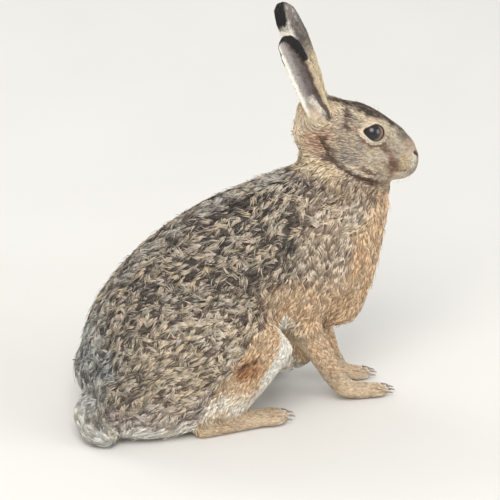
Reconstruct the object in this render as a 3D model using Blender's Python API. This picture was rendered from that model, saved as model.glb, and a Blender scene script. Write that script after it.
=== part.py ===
"""A brown hare at life size, sitting on its haunches with its ears up.

The body is lofted from rings of named sizes, fused into one smooth closed surface, and then parted
into its named pieces by simple zones. Each zone takes its piece, and what is left of the body is cut
back from the zone by a thin gap, so that neighbours meet without touching.

World axes: +X is forward, +Y is the hare's left, +Z is up. All sizes below are in millimetres.
"""

import math

import bmesh
import bpy
import numpy as np
from mathutils import Matrix, Vector

MM = 0.001  # metres in a millimetre
GAP = 0.3  # clearance between neighbouring pieces
VOXEL = 2.2  # grain of the fused surface
SMOOTH_STEPS = 5
BODY_FACES = 3400  # triangles of the fused body before it is parted
LEFT = 1
RIGHT = -1
SIDE_NAMES = {LEFT: "left", RIGHT: "right"}
ACROSS = 400  # half length of a zone that runs right across the body
ACROSS_BODY = (0.0, 1.0, 0.0)

# The head has its own axes: x runs from the nape to the nose, z up through the crown.
HEAD_AT = (106, 0, 319)
HEAD_PITCH = 27  # degrees, nose down
HEAD_TURN = -7  # degrees, towards the hare's right

EYE_RADIUS = 11
EYE_AT = (47, 17.0, 22.6)  # in the head's axes, on the left side

# Rings of the lofts: centre x, y, z, half width across, half depth to the back, half depth to the belly.
TRUNK_RINGS = [
    (-138, 0, 60, 48, 42, 50),
    (-105, 0, 98, 60, 66, 76),
    (-60, 0, 131, 66, 82, 88),
    (-5, 0, 154, 64, 95, 92),
    (50, 0, 172, 58, 97, 88),
    (96, 0, 186, 53, 94, 98),
    (137, 0, 187, 42, 70, 106),
]
CHEST_RINGS = [
    (112, 0, 104, 33, 30, 42),
    (124, 0, 146, 40, 40, 44),
    (130, 0, 190, 43, 44, 47),
    (134, 0, 228, 42, 44, 44),
]
BELLY_RINGS = [
    (-90, 0, 66, 48, 50, 50),
    (-10, 0, 74, 38, 50, 50),
    (40, 0, 76, 33, 50, 50),
    (62, 0, 80, 29, 46, 50),
    (79, 1, 43, 18, 26, 23),
]
NECK_RINGS = [
    (98, 0, 196, 47, 78, 74),
    (121, 0, 224, 45, 64, 66),
    (128, 0, 256, 38, 50, 52),
    (122, 0, 294, 31, 45, 34),
]
HEAD_RINGS = [  # in the head's axes
    (-21, 0, 3, 26, 27, 34),
    (-8, 0, 4, 28, 32, 34),
    (12, 0, 5, 29, 36, 36),
    (32, 0, 5, 29, 39, 38),
    (50, 0, 4, 27, 37.5, 37),
    (66, 0, 2, 22.5, 35.5, 34),
    (82, 0, 0, 19.5, 33.5, 30),
    (96, 0, -1, 18.5, 28.5, 26),
    (106, 0, -1, 16.5, 24, 21),
    (112, 0, 0, 13, 17.5, 15),
]
THIGH_RINGS = [
    (-118, 40, 80, 35, 40, 74),
    (-93, 44, 100, 36, 58, 96),
    (-55, 48, 102, 35, 70, 84),
    (-15, 53, 98, 29, 58, 58),
    (20, 56, 92, 20, 34, 34),
]
HAUNCH_RINGS = [  # the fur of the thigh, where it spreads on the floor
    (-142, 42, 38, 30, 38, 39),
    (-112, 50, 44, 32, 54, 47),
    (-78, 53, 42, 30, 54, 45),
    (-56, 56, 32, 24, 36, 34),
]
SHANK_RINGS = [
    (32, 58, 98, 19, 27, 25),
    (8, 60, 68, 18, 26, 26),
    (-14, 62, 44, 16.5, 25, 24),
    (-34, 63, 24, 14, 19, 18),
]
HIND_FOOT_RINGS = [
    (-56, 66, 9, 11, 12, 12),
    (-32, 64, 12, 13, 15, 15),
    (-4, 61, 10, 14, 10, 12),
    (18, 58, 8, 15.5, 8, 10),
]
HIND_LEG_REACH = {RIGHT: 0, LEFT: 26}  # how far each foot and shank sits ahead of the rings above
UPPER_ARM_RINGS = {
    RIGHT: [
        (118, 28, 198, 22, 36, 36),
        (102, 35, 164, 21, 34, 34),
        (80, 37, 132, 17, 26, 26),
        (68, 37, 108, 13, 18, 18),
    ],
    LEFT: [
        (122, 28, 198, 22, 36, 36),
        (114, 34, 164, 21, 34, 34),
        (100, 32, 132, 17, 26, 26),
        (95, 27, 108, 13, 18, 18),
    ],
}

# Each foreleg: elbow, mid forearm, wrist and ball of the paw, as x, y, z. The right one reaches ahead.
ELBOW = {RIGHT: (66, 36, 116), LEFT: (94, 27, 114)}
WRIST = {RIGHT: (108, 32, 33), LEFT: (122, 13, 31)}
PAW_LENGTH = {RIGHT: 48, LEFT: 28}  # from the wrist to the roots of the toes
ELBOW_SIZE = (15, 19)  # half width across, half depth
WRIST_SIZE = (10.5, 11.5)
PAW_HALF_WIDTH = 12.5

# Toes: distance of each from the foot's centre line, and how far it reaches, inner to outer.
HIND_TOES = [(-11, 24), (-4, 29), (4, 28), (11, 22)]
FORE_TOES = [(-9, 15), (-3, 19), (3.2, 18.5), (9, 14)]
HIND_TOE_RADIUS = 5.4
FORE_TOE_RADIUS = 4.4
TOE_DROOP = 1.5  # a toe's tip lies this much below its root
CLAW_LENGTH = 8
CLAW_RADIUS = 1.7

TAIL_RINGS = [
    (-152, -8, 40, 15, 14, 14),
    (-172, -22, 25, 16, 15, 15),
    (-173, -44, 14, 15, 14, 14),
    (-158, -60, 11, 12, 11, 11),
]

# Each ear is a scoop along an axis through these points, given for the left side in world axes.
EAR_AXIS = [(101, 13, 326), (94.5, 18, 352), (85.5, 23, 378), (73, 28, 412), (60, 31, 442), (54, 32, 455)]
EAR_BASE_SHIFT = {RIGHT: (0, 0, 0), LEFT: (3, -1, 0)}  # how far each base is from the axis above
EAR_TIP_SHIFT = {RIGHT: (2, 0, -5), LEFT: (11.5, 0, 8)}  # and each tip
EAR_LENGTHWISE = [0, 0.12, 0.3, 0.55, 0.75, 0.9, 0.97, 1.0]  # where the sizes below hold
EAR_WIDTH = [20, 24, 29, 33, 31, 22, 13, 4]  # from edge to edge
EAR_WRAP = [165, 140, 100, 78, 66, 56, 50, 45]  # half the angle of the scoop's arc, in degrees
EAR_THICKNESS = [5.0, 4.8, 4.6, 4.4, 4.2, 3.8, 3.4, 3.0]
EAR_OPENS = (0.22, 0.96, 0.10)  # the way the left ear's hollow faces
EAR_ROOT_AT = (94, 13, 310)
EAR_ROOT_SIZE = (16, 13, 26)

COAT = (0.42, 0.34, 0.25)
BUFF = (0.66, 0.50, 0.34)
PALE = (0.80, 0.74, 0.64)
EAR_BROWN = (0.48, 0.38, 0.29)
EYE_BROWN = (0.06, 0.03, 0.02)
CLAW_HORN = (0.12, 0.09, 0.07)


def clear_scene():
    for old in list(bpy.data.objects):
        bpy.data.objects.remove(old)


def material(name, colour, roughness):
    made = bpy.data.materials.get(name) or bpy.data.materials.new(name)
    made.use_nodes = True
    shader = made.node_tree.nodes["Principled BSDF"]
    shader.inputs["Base Color"].default_value = (*colour, 1)
    shader.inputs["Roughness"].default_value = roughness
    shader.inputs["Metallic"].default_value = 0
    return made


def object_from(name, points, faces):
    """A mesh object from points in millimetres, with its faces turned outwards."""
    mesh = bpy.data.meshes.new(name)
    mesh.from_pydata([Vector(p) * MM for p in points], [], faces)
    shape = bmesh.new()
    shape.from_mesh(mesh)
    bmesh.ops.recalc_face_normals(shape, faces=shape.faces)
    shape.to_mesh(mesh)
    shape.free()
    made = bpy.data.objects.new(name, mesh)
    bpy.context.scene.collection.objects.link(made)
    return made


def helper(made):
    """Marks a guide or cutter, which is no part of the hare."""
    made.hide_render = True
    made.display_type = "WIRE"
    return made


def through(values, steps):
    """Catmull-Rom interpolation through rows of values, with this many steps in each span."""
    rows = np.array(values, float)
    padded = np.vstack([2 * rows[0] - rows[1], rows, 2 * rows[-1] - rows[-2]])
    found = []
    for span in range(len(rows) - 1):
        a, b, c, d = padded[span : span + 4]
        for t in np.arange(steps) / steps:
            curve = 2 * b + (c - a) * t + (2 * a - 5 * b + 4 * c - d) * t**2
            found.append((curve + (3 * b - a - 3 * c + d) * t**3) / 2)
    return np.array(found + [rows[-1]])


def unit(v):
    return v / np.linalg.norm(v)


def tube_faces(rings, sides):
    """Faces of a tube of rings, closed at both ends by a pole. The poles follow the rings' points."""
    faces = []
    for r in range(rings - 1):
        for s in range(sides):
            t = (s + 1) % sides
            faces.append((r * sides + s, r * sides + t, (r + 1) * sides + t, (r + 1) * sides + s))
    first, last = rings * sides, rings * sides + 1
    end = (rings - 1) * sides
    for s in range(sides):
        t = (s + 1) % sides
        faces.append((first, t, s))
        faces.append((last, end + s, end + t))
    return faces


def loft(name, rings, sides=24, steps=4, cap=0.75, domes=(72, 48, 24)):
    """A closed round form through rings. Its ends are domes, cap times as long as the end ring's width."""
    rows = through(rings, steps)
    centres = rows[:, :3]
    tangents = np.gradient(centres, axis=0)
    angles = np.arange(sides) * 2 * math.pi / sides
    dome = [math.radians(a) for a in domes]
    points = []

    def add_ring(row, centre, scale):
        tangent = unit(tangents[row])
        side = unit(np.array(ACROSS_BODY) - np.dot(ACROSS_BODY, tangent) * tangent)
        back = np.cross(tangent, side)
        width, above, below = rows[row, 3:6] * scale
        for angle in angles:
            depth = above if math.sin(angle) > 0 else below
            points.append(centre + side * width * math.cos(angle) + back * depth * math.sin(angle))

    def dome_length(row):
        return cap * min(rows[row, 3], rows[row, 4:6].mean())

    last = len(rows) - 1
    for angle in dome:
        shift = -unit(tangents[0]) * dome_length(0) * math.sin(angle)
        add_ring(0, centres[0] + shift, math.cos(angle))
    for row in range(len(rows)):
        add_ring(row, centres[row], 1)
    for angle in reversed(dome):
        shift = unit(tangents[last]) * dome_length(last) * math.sin(angle)
        add_ring(last, centres[last] + shift, math.cos(angle))
    ring_count = len(rows) + 2 * len(dome)
    points.append(centres[0] - unit(tangents[0]) * dome_length(0))
    points.append(centres[last] + unit(tangents[last]) * dome_length(last))
    return helper(object_from(name, points, tube_faces(ring_count, sides)))


def mirrored(rings, side, ahead=0):
    """Rings given for the left side, on either side."""
    return [(r[0] + ahead, r[1] * side, *r[2:]) for r in rings]


def head_frame():
    pitch = Matrix.Rotation(math.radians(HEAD_PITCH), 4, "Y")
    turn = Matrix.Rotation(math.radians(HEAD_TURN), 4, "Z")
    return Matrix.Translation(Vector(HEAD_AT) * MM) @ turn @ pitch


def turned_with_head(made):
    """Turns a piece given in world axes about the head's upright axis, as the head is turned."""
    pivot = Matrix.Translation(Vector(HEAD_AT) * MM)
    turn = Matrix.Rotation(math.radians(HEAD_TURN), 4, "Z")
    made.data.transform(pivot @ turn @ pivot.inverted())
    return made


def ellipsoid(name, centre, radii, segments=24):
    made = bpy.data.objects.new(name, bpy.data.meshes.new(name))
    bpy.context.scene.collection.objects.link(made)
    shape = bmesh.new()
    place = Matrix.Translation(Vector(centre) * MM) @ Matrix.Diagonal((*(Vector(radii) * MM), 1))
    bmesh.ops.create_uvsphere(shape, u_segments=segments, v_segments=segments // 2, radius=1, matrix=place)
    shape.to_mesh(made.data)
    shape.free()
    return helper(made)


def ear(side):
    """A scoop: an outer and an inner sheet of arcs along the ear's axis, joined at their rims."""
    axis = through([(x, y * side, z) for x, y, z in EAR_AXIS], 6)
    along = np.linspace(0, 1, len(axis))
    axis += np.outer(1 - along, EAR_BASE_SHIFT[side]) + np.outer(along, EAR_TIP_SHIFT[side])
    tangents = np.gradient(axis, axis=0)
    opens = unit(np.array(EAR_OPENS) * (1, side, 1))
    shares = np.linspace(-1, 1, 15)
    outer, inner = [], []
    for centre, tangent, t in zip(axis, tangents, along):
        width = np.interp(t, EAR_LENGTHWISE, EAR_WIDTH)
        wrap = math.radians(np.interp(t, EAR_LENGTHWISE, EAR_WRAP))
        thickness = np.interp(t, EAR_LENGTHWISE, EAR_THICKNESS)
        tangent = unit(tangent)
        hollow = unit(opens - np.dot(opens, tangent) * tangent)
        edgewise = np.cross(tangent, hollow)
        radius = width / 2 / math.sin(min(wrap, math.pi / 2))
        middle = centre + hollow * radius * 0.5
        for share in shares:
            out = edgewise * math.sin(share * wrap) - hollow * math.cos(share * wrap)
            wall = thickness * (1 - 0.5 * share**4)
            outer.append(middle + out * radius)
            inner.append(middle + out * max(radius - wall, 0.4))
    return helper(object_from(f"ear_form_{SIDE_NAMES[side]}", outer + inner, scoop_faces(len(axis), len(shares))))


def scoop_faces(rows, columns):
    """Faces of two sheets of rows by columns points, joined all round their rims."""
    sheet = rows * columns
    faces = []
    for r in range(rows - 1):
        for c in range(columns - 1):
            a, b = r * columns + c, (r + 1) * columns + c
            faces.append((a, a + 1, b + 1, b))
            faces.append((a + sheet, b + sheet, b + 1 + sheet, a + 1 + sheet))
    rim = [c for c in range(columns)]
    rim += [r * columns + columns - 1 for r in range(1, rows)]
    rim += [(rows - 1) * columns + c for c in range(columns - 2, -1, -1)]
    rim += [r * columns for r in range(rows - 2, 0, -1)]
    for a, b in zip(rim, rim[1:] + rim[:1]):
        faces.append((a, b, b + sheet, a + sheet))
    return faces


def foreleg(side):
    """The forearm and paw as one loft, from the elbow to the roots of the toes."""
    elbow = np.array(ELBOW[side], float) * (1, side, 1)
    wrist = np.array(WRIST[side], float) * (1, side, 1)
    rings = []
    for share in (0, 0.35, 0.7, 1):
        bulge = 1 + 0.06 * math.sin(share * math.pi)
        width = (ELBOW_SIZE[0] + (WRIST_SIZE[0] - ELBOW_SIZE[0]) * share) * bulge
        depth = (ELBOW_SIZE[1] + (WRIST_SIZE[1] - ELBOW_SIZE[1]) * share) * bulge
        rings.append((*(elbow + (wrist - elbow) * share), width, depth, depth))
    x, y, _ = wrist
    length = PAW_LENGTH[side]
    rings.append((x + 0.27 * length, y, 16, 11.5, 11, 12))
    rings.append((x + 0.62 * length, y, 9.5, PAW_HALF_WIDTH, 8, 10))
    rings.append((x + length, y, 7.5, PAW_HALF_WIDTH - 0.5, 6.5, 9))
    return loft(f"foreleg_form_{SIDE_NAMES[side]}", rings, sides=20)


def toe_tips(side, fore):
    """Root and tip of each toe of one foot, inner to outer."""
    if fore:
        x, y = WRIST[side][0] + PAW_LENGTH[side] - 4, WRIST[side][1] * side
        toes, radius = FORE_TOES, FORE_TOE_RADIUS
    else:
        x, y = HIND_FOOT_RINGS[-1][0] + HIND_LEG_REACH[side], HIND_FOOT_RINGS[-1][1] * side
        toes, radius = HIND_TOES, HIND_TOE_RADIUS
    found = []
    for offset, reach in toes:
        root = np.array((x, y + offset * side, radius + TOE_DROOP + 0.6))
        spread = offset * side * 0.12
        found.append((root, root + (reach, spread, -TOE_DROOP), radius))
    return found


def toes(side, fore):
    made = []
    for number, (root, tip, radius) in enumerate(toe_tips(side, fore), 1):
        rings = [
            (*root, radius, radius, radius),
            (*(root + (tip - root) * 0.5), radius * 1.08, radius * 1.1, radius * 1.1),
            (*tip, radius * 0.82, radius * 0.8, radius * 0.9),
        ]
        made.append(loft(f"toe_form_{SIDE_NAMES[side]}_{fore}_{number}", rings, sides=12, steps=2))
    return made


def body_forms():
    """Every loft of the flesh, overlapping its neighbours."""
    made = [loft("trunk_form", TRUNK_RINGS, sides=32), loft("neck_form", NECK_RINGS, sides=28)]
    head = loft("head_form", HEAD_RINGS, sides=32, cap=0.5)
    head.data.transform(head_frame())
    made.append(head)
    made.append(loft("belly_form", BELLY_RINGS, sides=28))
    made.append(loft("chest_form", CHEST_RINGS, sides=28))
    for side in (LEFT, RIGHT):
        name = SIDE_NAMES[side]
        made.append(turned_with_head(ear(side)))
        root = np.array(EAR_ROOT_AT) * (1, side, 1) + EAR_BASE_SHIFT[side]
        made.append(turned_with_head(ellipsoid(f"ear_root_form_{name}", root, EAR_ROOT_SIZE)))
        ahead = HIND_LEG_REACH[side]
        made.append(loft(f"thigh_form_{name}", mirrored(THIGH_RINGS, side), sides=28))
        made.append(loft(f"haunch_form_{name}", mirrored(HAUNCH_RINGS, side), sides=24))
        made.append(loft(f"shank_form_{name}", mirrored(SHANK_RINGS, side, ahead), sides=20))
        made.append(loft(f"foot_form_{name}", mirrored(HIND_FOOT_RINGS, side, ahead), sides=18))
        made.append(loft(f"upper_arm_form_{name}", mirrored(UPPER_ARM_RINGS[side], side), sides=24))
        made.append(foreleg(side))
        made.extend(toes(side, fore=False))
        made.extend(toes(side, fore=True))
    return made


def shown(made):
    """Marks a form as a piece of the hare itself."""
    made.hide_render = False
    made.display_type = "TEXTURED"
    return made


def evaluated_mesh(made):
    bpy.context.view_layer.update()
    graph = bpy.context.evaluated_depsgraph_get()
    return bpy.data.meshes.new_from_object(made.evaluated_get(graph))


def fused(forms):
    """One closed smooth surface round all the forms, with about BODY_FACES triangles."""
    shape = bmesh.new()
    for form in forms:
        shape.from_mesh(form.data)
    whole = bpy.data.objects.new("body", bpy.data.meshes.new("body"))
    shape.to_mesh(whole.data)
    shape.free()
    bpy.context.scene.collection.objects.link(whole)
    remesh = whole.modifiers.new("fuse", "REMESH")
    remesh.mode = "VOXEL"
    remesh.voxel_size = VOXEL * MM
    smooth = whole.modifiers.new("smooth", "SMOOTH")
    smooth.iterations = SMOOTH_STEPS
    whole.data = evaluated_mesh(whole)
    whole.modifiers.clear()
    triangles = 2 * len(whole.data.polygons)
    thin = whole.modifiers.new("thin", "DECIMATE")
    thin.ratio = BODY_FACES / triangles
    whole.data = evaluated_mesh(whole)
    whole.modifiers.clear()
    return helper(whole)


def boolean(target, cutter, operation):
    """Applies a Boolean to target's mesh and keeps its largest island."""
    cut = target.modifiers.new(operation.lower(), "BOOLEAN")
    cut.operation = operation
    cut.object = cutter
    target.data = evaluated_mesh(target)
    target.modifiers.clear()
    return target


def islands(shape):
    """Vertex sets of the separate closed surfaces in a bmesh."""
    unseen = set(shape.verts)
    found = []
    while unseen:
        stack = [unseen.pop()]
        island = set(stack)
        while stack:
            for edge in stack.pop().link_edges:
                for vertex in edge.verts:
                    if vertex in unseen:
                        unseen.discard(vertex)
                        island.add(vertex)
                        stack.append(vertex)
        found.append(island)
    return found


def keep_largest(made):
    """Removes the crumbs that a zone's edge can leave beside the piece itself."""
    shape = bmesh.new()
    shape.from_mesh(made.data)
    found = sorted(islands(shape), key=len)
    for island in found[:-1]:
        bmesh.ops.delete(shape, geom=list(island), context="VERTS")
    shape.to_mesh(made.data)
    shape.free()
    return made


def grown(form, by):
    """A copy of a closed form, each face moved out by this many millimetres."""
    copy = bpy.data.objects.new(form.name + "_grown", form.data.copy())
    bpy.context.scene.collection.objects.link(copy)
    shape = bmesh.new()
    shape.from_mesh(copy.data)
    moves = [v.normal * by * MM * v.calc_shell_factor() for v in shape.verts]
    for vertex, move in zip(shape.verts, moves):
        vertex.co += move
    shape.to_mesh(copy.data)
    shape.free()
    return helper(copy)


def prism(name, outline, low, high):
    """A zone: a convex outline of x, z corners, from y low to y high."""
    count = len(outline)
    points = [(x, y, z) for y in (low, high) for x, z in outline]
    faces = [tuple(range(count)), tuple(range(2 * count - 1, count - 1, -1))]
    for a in range(count):
        b = (a + 1) % count
        faces.append((a, a + count, b + count, b))
    return helper(object_from(name, points, faces))


def oval(centre, radii, corners=28):
    turn = 2 * math.pi / corners
    return [
        (centre[0] + radii[0] * math.cos(k * turn), centre[1] + radii[1] * math.sin(k * turn))
        for k in range(corners)
    ]


def sided(name, outline, side, inner, outer):
    """A zone on one side of the body, between two distances from its middle."""
    low, high = sorted((inner * side, outer * side))
    return prism(f"{name}_zone_{SIDE_NAMES[side]}", outline, low, high)


FLOOR_ZONE = [(-ACROSS, -ACROSS), (ACROSS, -ACROSS), (ACROSS, 0), (-ACROSS, 0)]
EAR_ZONE = [(0, 352), (96, 334), (125, 352), (125, 500), (0, 500)]
HEAD_ZONE = [(60, 325), (92, 296), (186, 232), (260, 200), (260, 420), (60, 420)]
NECK_ZONE = [(36, 292), (190, 208), (260, 208), (260, 420), (36, 420)]
THIGH_ZONE = oval((-82, 84), (112, 104))
SHANK_ZONE = [(-62, 20), (16, 20), (52, 62), (58, 92), (46, 116), (3, 112)]
HIND_FOOT_ZONE = [(-62, -5), (90, -5), (90, 19.7), (-62, 19.7)]
UPPER_ARM_ZONE = {RIGHT: oval((95, 160), (45, 56)), LEFT: oval((108, 160), (43, 56))}
FOREPAW_ZONE = [(86, -5), (230, -5), (230, 33), (86, 33)]
FORELEG_INNER = {RIGHT: 14, LEFT: -2}  # where the zones of each foreleg begin, from the body's middle


def take(body, zone, name, finish):
    """Moves what a zone holds out of the body into a piece of its own."""
    piece = bpy.data.objects.new(name, body.data.copy())
    bpy.context.scene.collection.objects.link(piece)
    keep_largest(boolean(piece, zone, "INTERSECT"))
    boolean(body, grown(zone, GAP), "DIFFERENCE")
    finished(piece, finish)
    return piece


def finished(piece, finish):
    piece.data.materials.clear()
    piece.data.materials.append(finish)
    piece.data.shade_smooth()
    piece.data.set_sharp_from_angle(angle=math.radians(50))
    return piece


def eye(side, finish):
    """A whole eyeball, set into a socket in the head."""
    centre = head_frame() @ (Vector((EYE_AT[0], EYE_AT[1] * side, EYE_AT[2])) * MM)
    ball = shown(ellipsoid(f"eye_{SIDE_NAMES[side]}", centre / MM, (EYE_RADIUS,) * 3, segments=16))
    return finished(ball, finish)


def claw(side, fore, number, tip, radius, flesh, finish):
    """A short curved horn in front of a toe, cut back from the flesh."""
    rings = []
    for share in (0, 0.35, 0.7, 1):
        size = CLAW_RADIUS * (1 - 0.75 * share)
        reach = radius * 0.2 + CLAW_LENGTH * share
        rings.append((tip[0] + reach, tip[1], tip[2] + 1.2 - 2.2 * share**2, size, size, size))
    limb = "fore" if fore else "hind"
    made = shown(loft(f"claw_{limb}_{SIDE_NAMES[side]}_{number}", rings, sides=6, steps=1, domes=(45,)))
    keep_largest(boolean(made, flesh, "DIFFERENCE"))
    return finished(made, finish)


def tail(flesh, floor, finish):
    """The tail, laid along the rump on the floor and cut back from the flesh."""
    made = shown(loft("tail", TAIL_RINGS, sides=14, steps=2, domes=(60, 30)))
    boolean(made, floor, "DIFFERENCE")
    keep_largest(boolean(made, flesh, "DIFFERENCE"))
    return finished(made, finish)


def forearm_zone(side):
    """A slanted zone along the forearm, from under the elbow to the wrist."""
    (ex, _, ez), (wx, _, _) = ELBOW[side], WRIST[side]
    outline = [(wx - 24, 33), (wx + 24, 33), (ex + 30, ez - 10), (ex - 26, ez - 26)]
    return sided("forearm", outline, side, FORELEG_INNER[side], 80)


def main():
    clear_scene()
    coat = material("coat", COAT, 0.85)
    buff = material("buff_coat", BUFF, 0.85)
    pale = material("pale_coat", PALE, 0.85)
    ear_coat = material("ear_coat", EAR_BROWN, 0.8)
    cornea = material("eye", EYE_BROWN, 0.08)
    horn = material("claw", CLAW_HORN, 0.45)

    body = fused(body_forms())
    floor = prism("floor_zone", FLOOR_ZONE, -ACROSS, ACROSS)
    boolean(body, floor, "DIFFERENCE")
    flesh = grown(body, GAP)

    pieces = [tail(flesh, floor, pale)]
    for side in (LEFT, RIGHT):
        pieces.append(eye(side, cornea))
        boolean(body, grown(pieces[-1], GAP), "DIFFERENCE")
        for fore in (False, True):
            for number, (_, tip, radius) in enumerate(toe_tips(side, fore), 1):
                pieces.append(claw(side, fore, number, tip, radius, flesh, horn))

    for side in (LEFT, RIGHT):
        name = SIDE_NAMES[side]
        ear_zone = turned_with_head(sided("ear", EAR_ZONE, side, 1.5, 80))
        pieces.append(take(body, ear_zone, f"ear_{name}", ear_coat))
    pieces.append(take(body, prism("head_zone", HEAD_ZONE, -ACROSS, ACROSS), "head", coat))
    pieces.append(take(body, prism("neck_zone", NECK_ZONE, -ACROSS, ACROSS), "neck", coat))
    for side in (LEFT, RIGHT):
        name = SIDE_NAMES[side]
        sole = [(x + HIND_LEG_REACH[side], z) for x, z in HIND_FOOT_ZONE]
        pieces.append(take(body, sided("hind_foot", sole, side, 38, 110), f"hind_foot_{name}", buff))
        leg = [(x + HIND_LEG_REACH[side], z) for x, z in SHANK_ZONE]
        pieces.append(take(body, sided("shank", leg, side, 40, 110), f"shank_{name}", buff))
        thigh = sided("thigh", THIGH_ZONE, side, 26, 130)
        pieces.append(take(body, thigh, f"thigh_{name}", coat))
        paw = sided("forepaw", FOREPAW_ZONE, side, FORELEG_INNER[side], 80)
        pieces.append(take(body, paw, f"forepaw_{name}", buff))
        pieces.append(take(body, forearm_zone(side), f"forearm_{name}", buff))
        upper = sided("upper_arm", UPPER_ARM_ZONE[side], side, 24, 110)
        pieces.append(take(body, upper, f"upper_arm_{name}", coat))
    trunk = bpy.data.objects.new("trunk", body.data.copy())
    bpy.context.scene.collection.objects.link(trunk)
    pieces.append(finished(keep_largest(trunk), coat))
    centre_on_floor(pieces)
    return pieces


def centre_on_floor(pieces):
    """Puts the middle of the pieces' box over the origin. Their soles are already at floor level."""
    corners = np.concatenate([[v.co for v in piece.data.vertices] for piece in pieces])
    middle = (corners.min(0) + corners.max(0)) / 2
    for piece in pieces:
        piece.data.transform(Matrix.Translation((-middle[0], -middle[1], 0)))


PIECES = main()
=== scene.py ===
"""The looks of a brown hare: skin, coat, eyes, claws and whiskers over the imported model.

One smooth skin replaces the nodes of flesh and lies inside them by the depth of the coat. The coat is
solid mesh: tapered locks that are rooted in the skin, follow the lie of the coat and end at the
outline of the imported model. Skin and coat take their colours from the same markings.

Places are in millimetres along the part's design axes: +X forward, +Y the hare's left, +Z up.
"""

import math

import bmesh
import bpy
import numpy as np
from mathutils import Matrix, Vector, kdtree, noise
from mathutils.bvhtree import BVHTree


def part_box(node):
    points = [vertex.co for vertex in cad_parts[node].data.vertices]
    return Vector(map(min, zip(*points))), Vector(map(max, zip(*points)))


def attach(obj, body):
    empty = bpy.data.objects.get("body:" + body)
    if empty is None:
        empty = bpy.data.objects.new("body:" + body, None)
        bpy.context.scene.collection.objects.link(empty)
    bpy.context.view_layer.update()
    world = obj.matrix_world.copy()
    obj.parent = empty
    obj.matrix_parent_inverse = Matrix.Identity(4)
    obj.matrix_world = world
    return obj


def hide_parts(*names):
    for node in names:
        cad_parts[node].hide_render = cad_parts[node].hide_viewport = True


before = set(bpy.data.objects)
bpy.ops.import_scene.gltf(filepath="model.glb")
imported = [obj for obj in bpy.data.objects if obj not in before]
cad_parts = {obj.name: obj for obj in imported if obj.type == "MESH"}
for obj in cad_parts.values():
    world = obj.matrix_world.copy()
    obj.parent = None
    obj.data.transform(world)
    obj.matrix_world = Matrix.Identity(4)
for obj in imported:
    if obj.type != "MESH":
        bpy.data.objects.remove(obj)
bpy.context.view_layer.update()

MM = 0.001  # metres in a millimetre
SEED = 11
SIDES = {"left": 1, "right": -1}

# ---------------------------------------------------------------- places, as in the part's design

HEAD_AT = np.array((106.0, 0, 319))
HEAD_PITCH = 27
HEAD_TURN = -7
EYE_AT = (47, 17.0, 22.6)  # in the head's axes: x to the nose, y left, z up through the crown

# Each ear's axis from base to tip, its width there and half the angle of its scoop, on the left side.
EAR_AXIS = [(101, 13, 326), (94.5, 18, 352), (85.5, 23, 378), (73, 28, 412), (60, 31, 442), (54, 32, 455)]
EAR_BASE_SHIFT = {"right": (0, 0, 0), "left": (3, -1, 0)}
EAR_TIP_SHIFT = {"right": (2, 0, -5), "left": (11.5, 0, 8)}
EAR_LENGTHWISE = [0, 0.12, 0.3, 0.55, 0.75, 0.9, 0.97, 1.0]
EAR_WIDTH = [20, 24, 29, 33, 31, 22, 13, 4]
EAR_WRAP = [165, 140, 100, 78, 66, 56, 50, 45]
EAR_OPENS = (0.22, 0.96, 0.10)

ELBOW = {"right": (66, -36, 116), "left": (94, 27, 114)}
WRIST = {"right": (108, -32, 33), "left": (122, 13, 31)}
KNEE_TO_HOCK = (-66, 5, -74)
HIND_LEG_AHEAD = {"right": 0, "left": 26}
TAIL_PATH = [(-152, -8, 40), (-172, -22, 25), (-173, -44, 14), (-158, -60, 11)]

# ---------------------------------------------------------------- skin

SWELL = 0.4  # closes the thin cuts between the nodes before they are fused
VOXEL = 1.5
# The skin is painted darker than the coat over it, as painted shade under the coat.
UNDER_COAT_SHADE = 0.85  # the skin's shade against the coat's
SKIN_KEPT = 0.55  # share of the skin's triangles that stays once the coat has grown from all of them
REGION_BLEND = 16  # smoothing steps where one region's sizes run into the next
OFF_FLOOR = 0.25  # the skin stays this far above the floor
REGIONS = {  # node name's start: region
    "head": "head", "eye": "head", "ear": "ear", "neck": "neck", "trunk": "trunk", "tail": "tail",
    "thigh": "thigh", "upper_arm": "arm", "shank": "shank", "forearm": "forearm",
    "hind_foot": "foot", "forepaw": "paw",
}
# Smoothing steps of the skin, coat depth, lock length, lock width and waviness (degrees) by region.
REGION_SIZES = {
    "head": (12, 2.6, 7.5, 0.9, 6),
    "ear": (5, 0.5, 3.6, 0.8, 5),
    "neck": (26, 6.0, 15, 1.75, 26),
    "trunk": (30, 7.0, 17, 1.9, 43),
    "tail": (16, 4.5, 17, 1.3, 12),
    "thigh": (30, 7.0, 16.5, 1.9, 45),
    "arm": (26, 6.0, 15, 1.85, 28),
    "shank": (16, 3.2, 10, 1.1, 7),
    "forearm": (14, 2.2, 9, 1.0, 5),
    "foot": (4, 1.2, 5.2, 0.8, 4),
    "paw": (3, 1.0, 4.6, 0.7, 4),
}
SIZE_NAMES = ("steps", "depth", "length", "width", "wave")

# Along the head from the nape to the nose: coat depth, lock length, lock width and how densely they stand.
HEAD_STATIONS = [-25, 15, 55, 88, 116]
HEAD_DEPTH = [4.5, 3.0, 2.0, 1.2, 0.7]
HEAD_LENGTH = [12, 8.5, 6.5, 3.8, 2.4]
HEAD_WIDTH = [1.2, 1.0, 0.8, 0.6, 0.45]
HEAD_DENSITY = [0.4, 0.7, 1.1, 1.9, 2.4]

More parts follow.
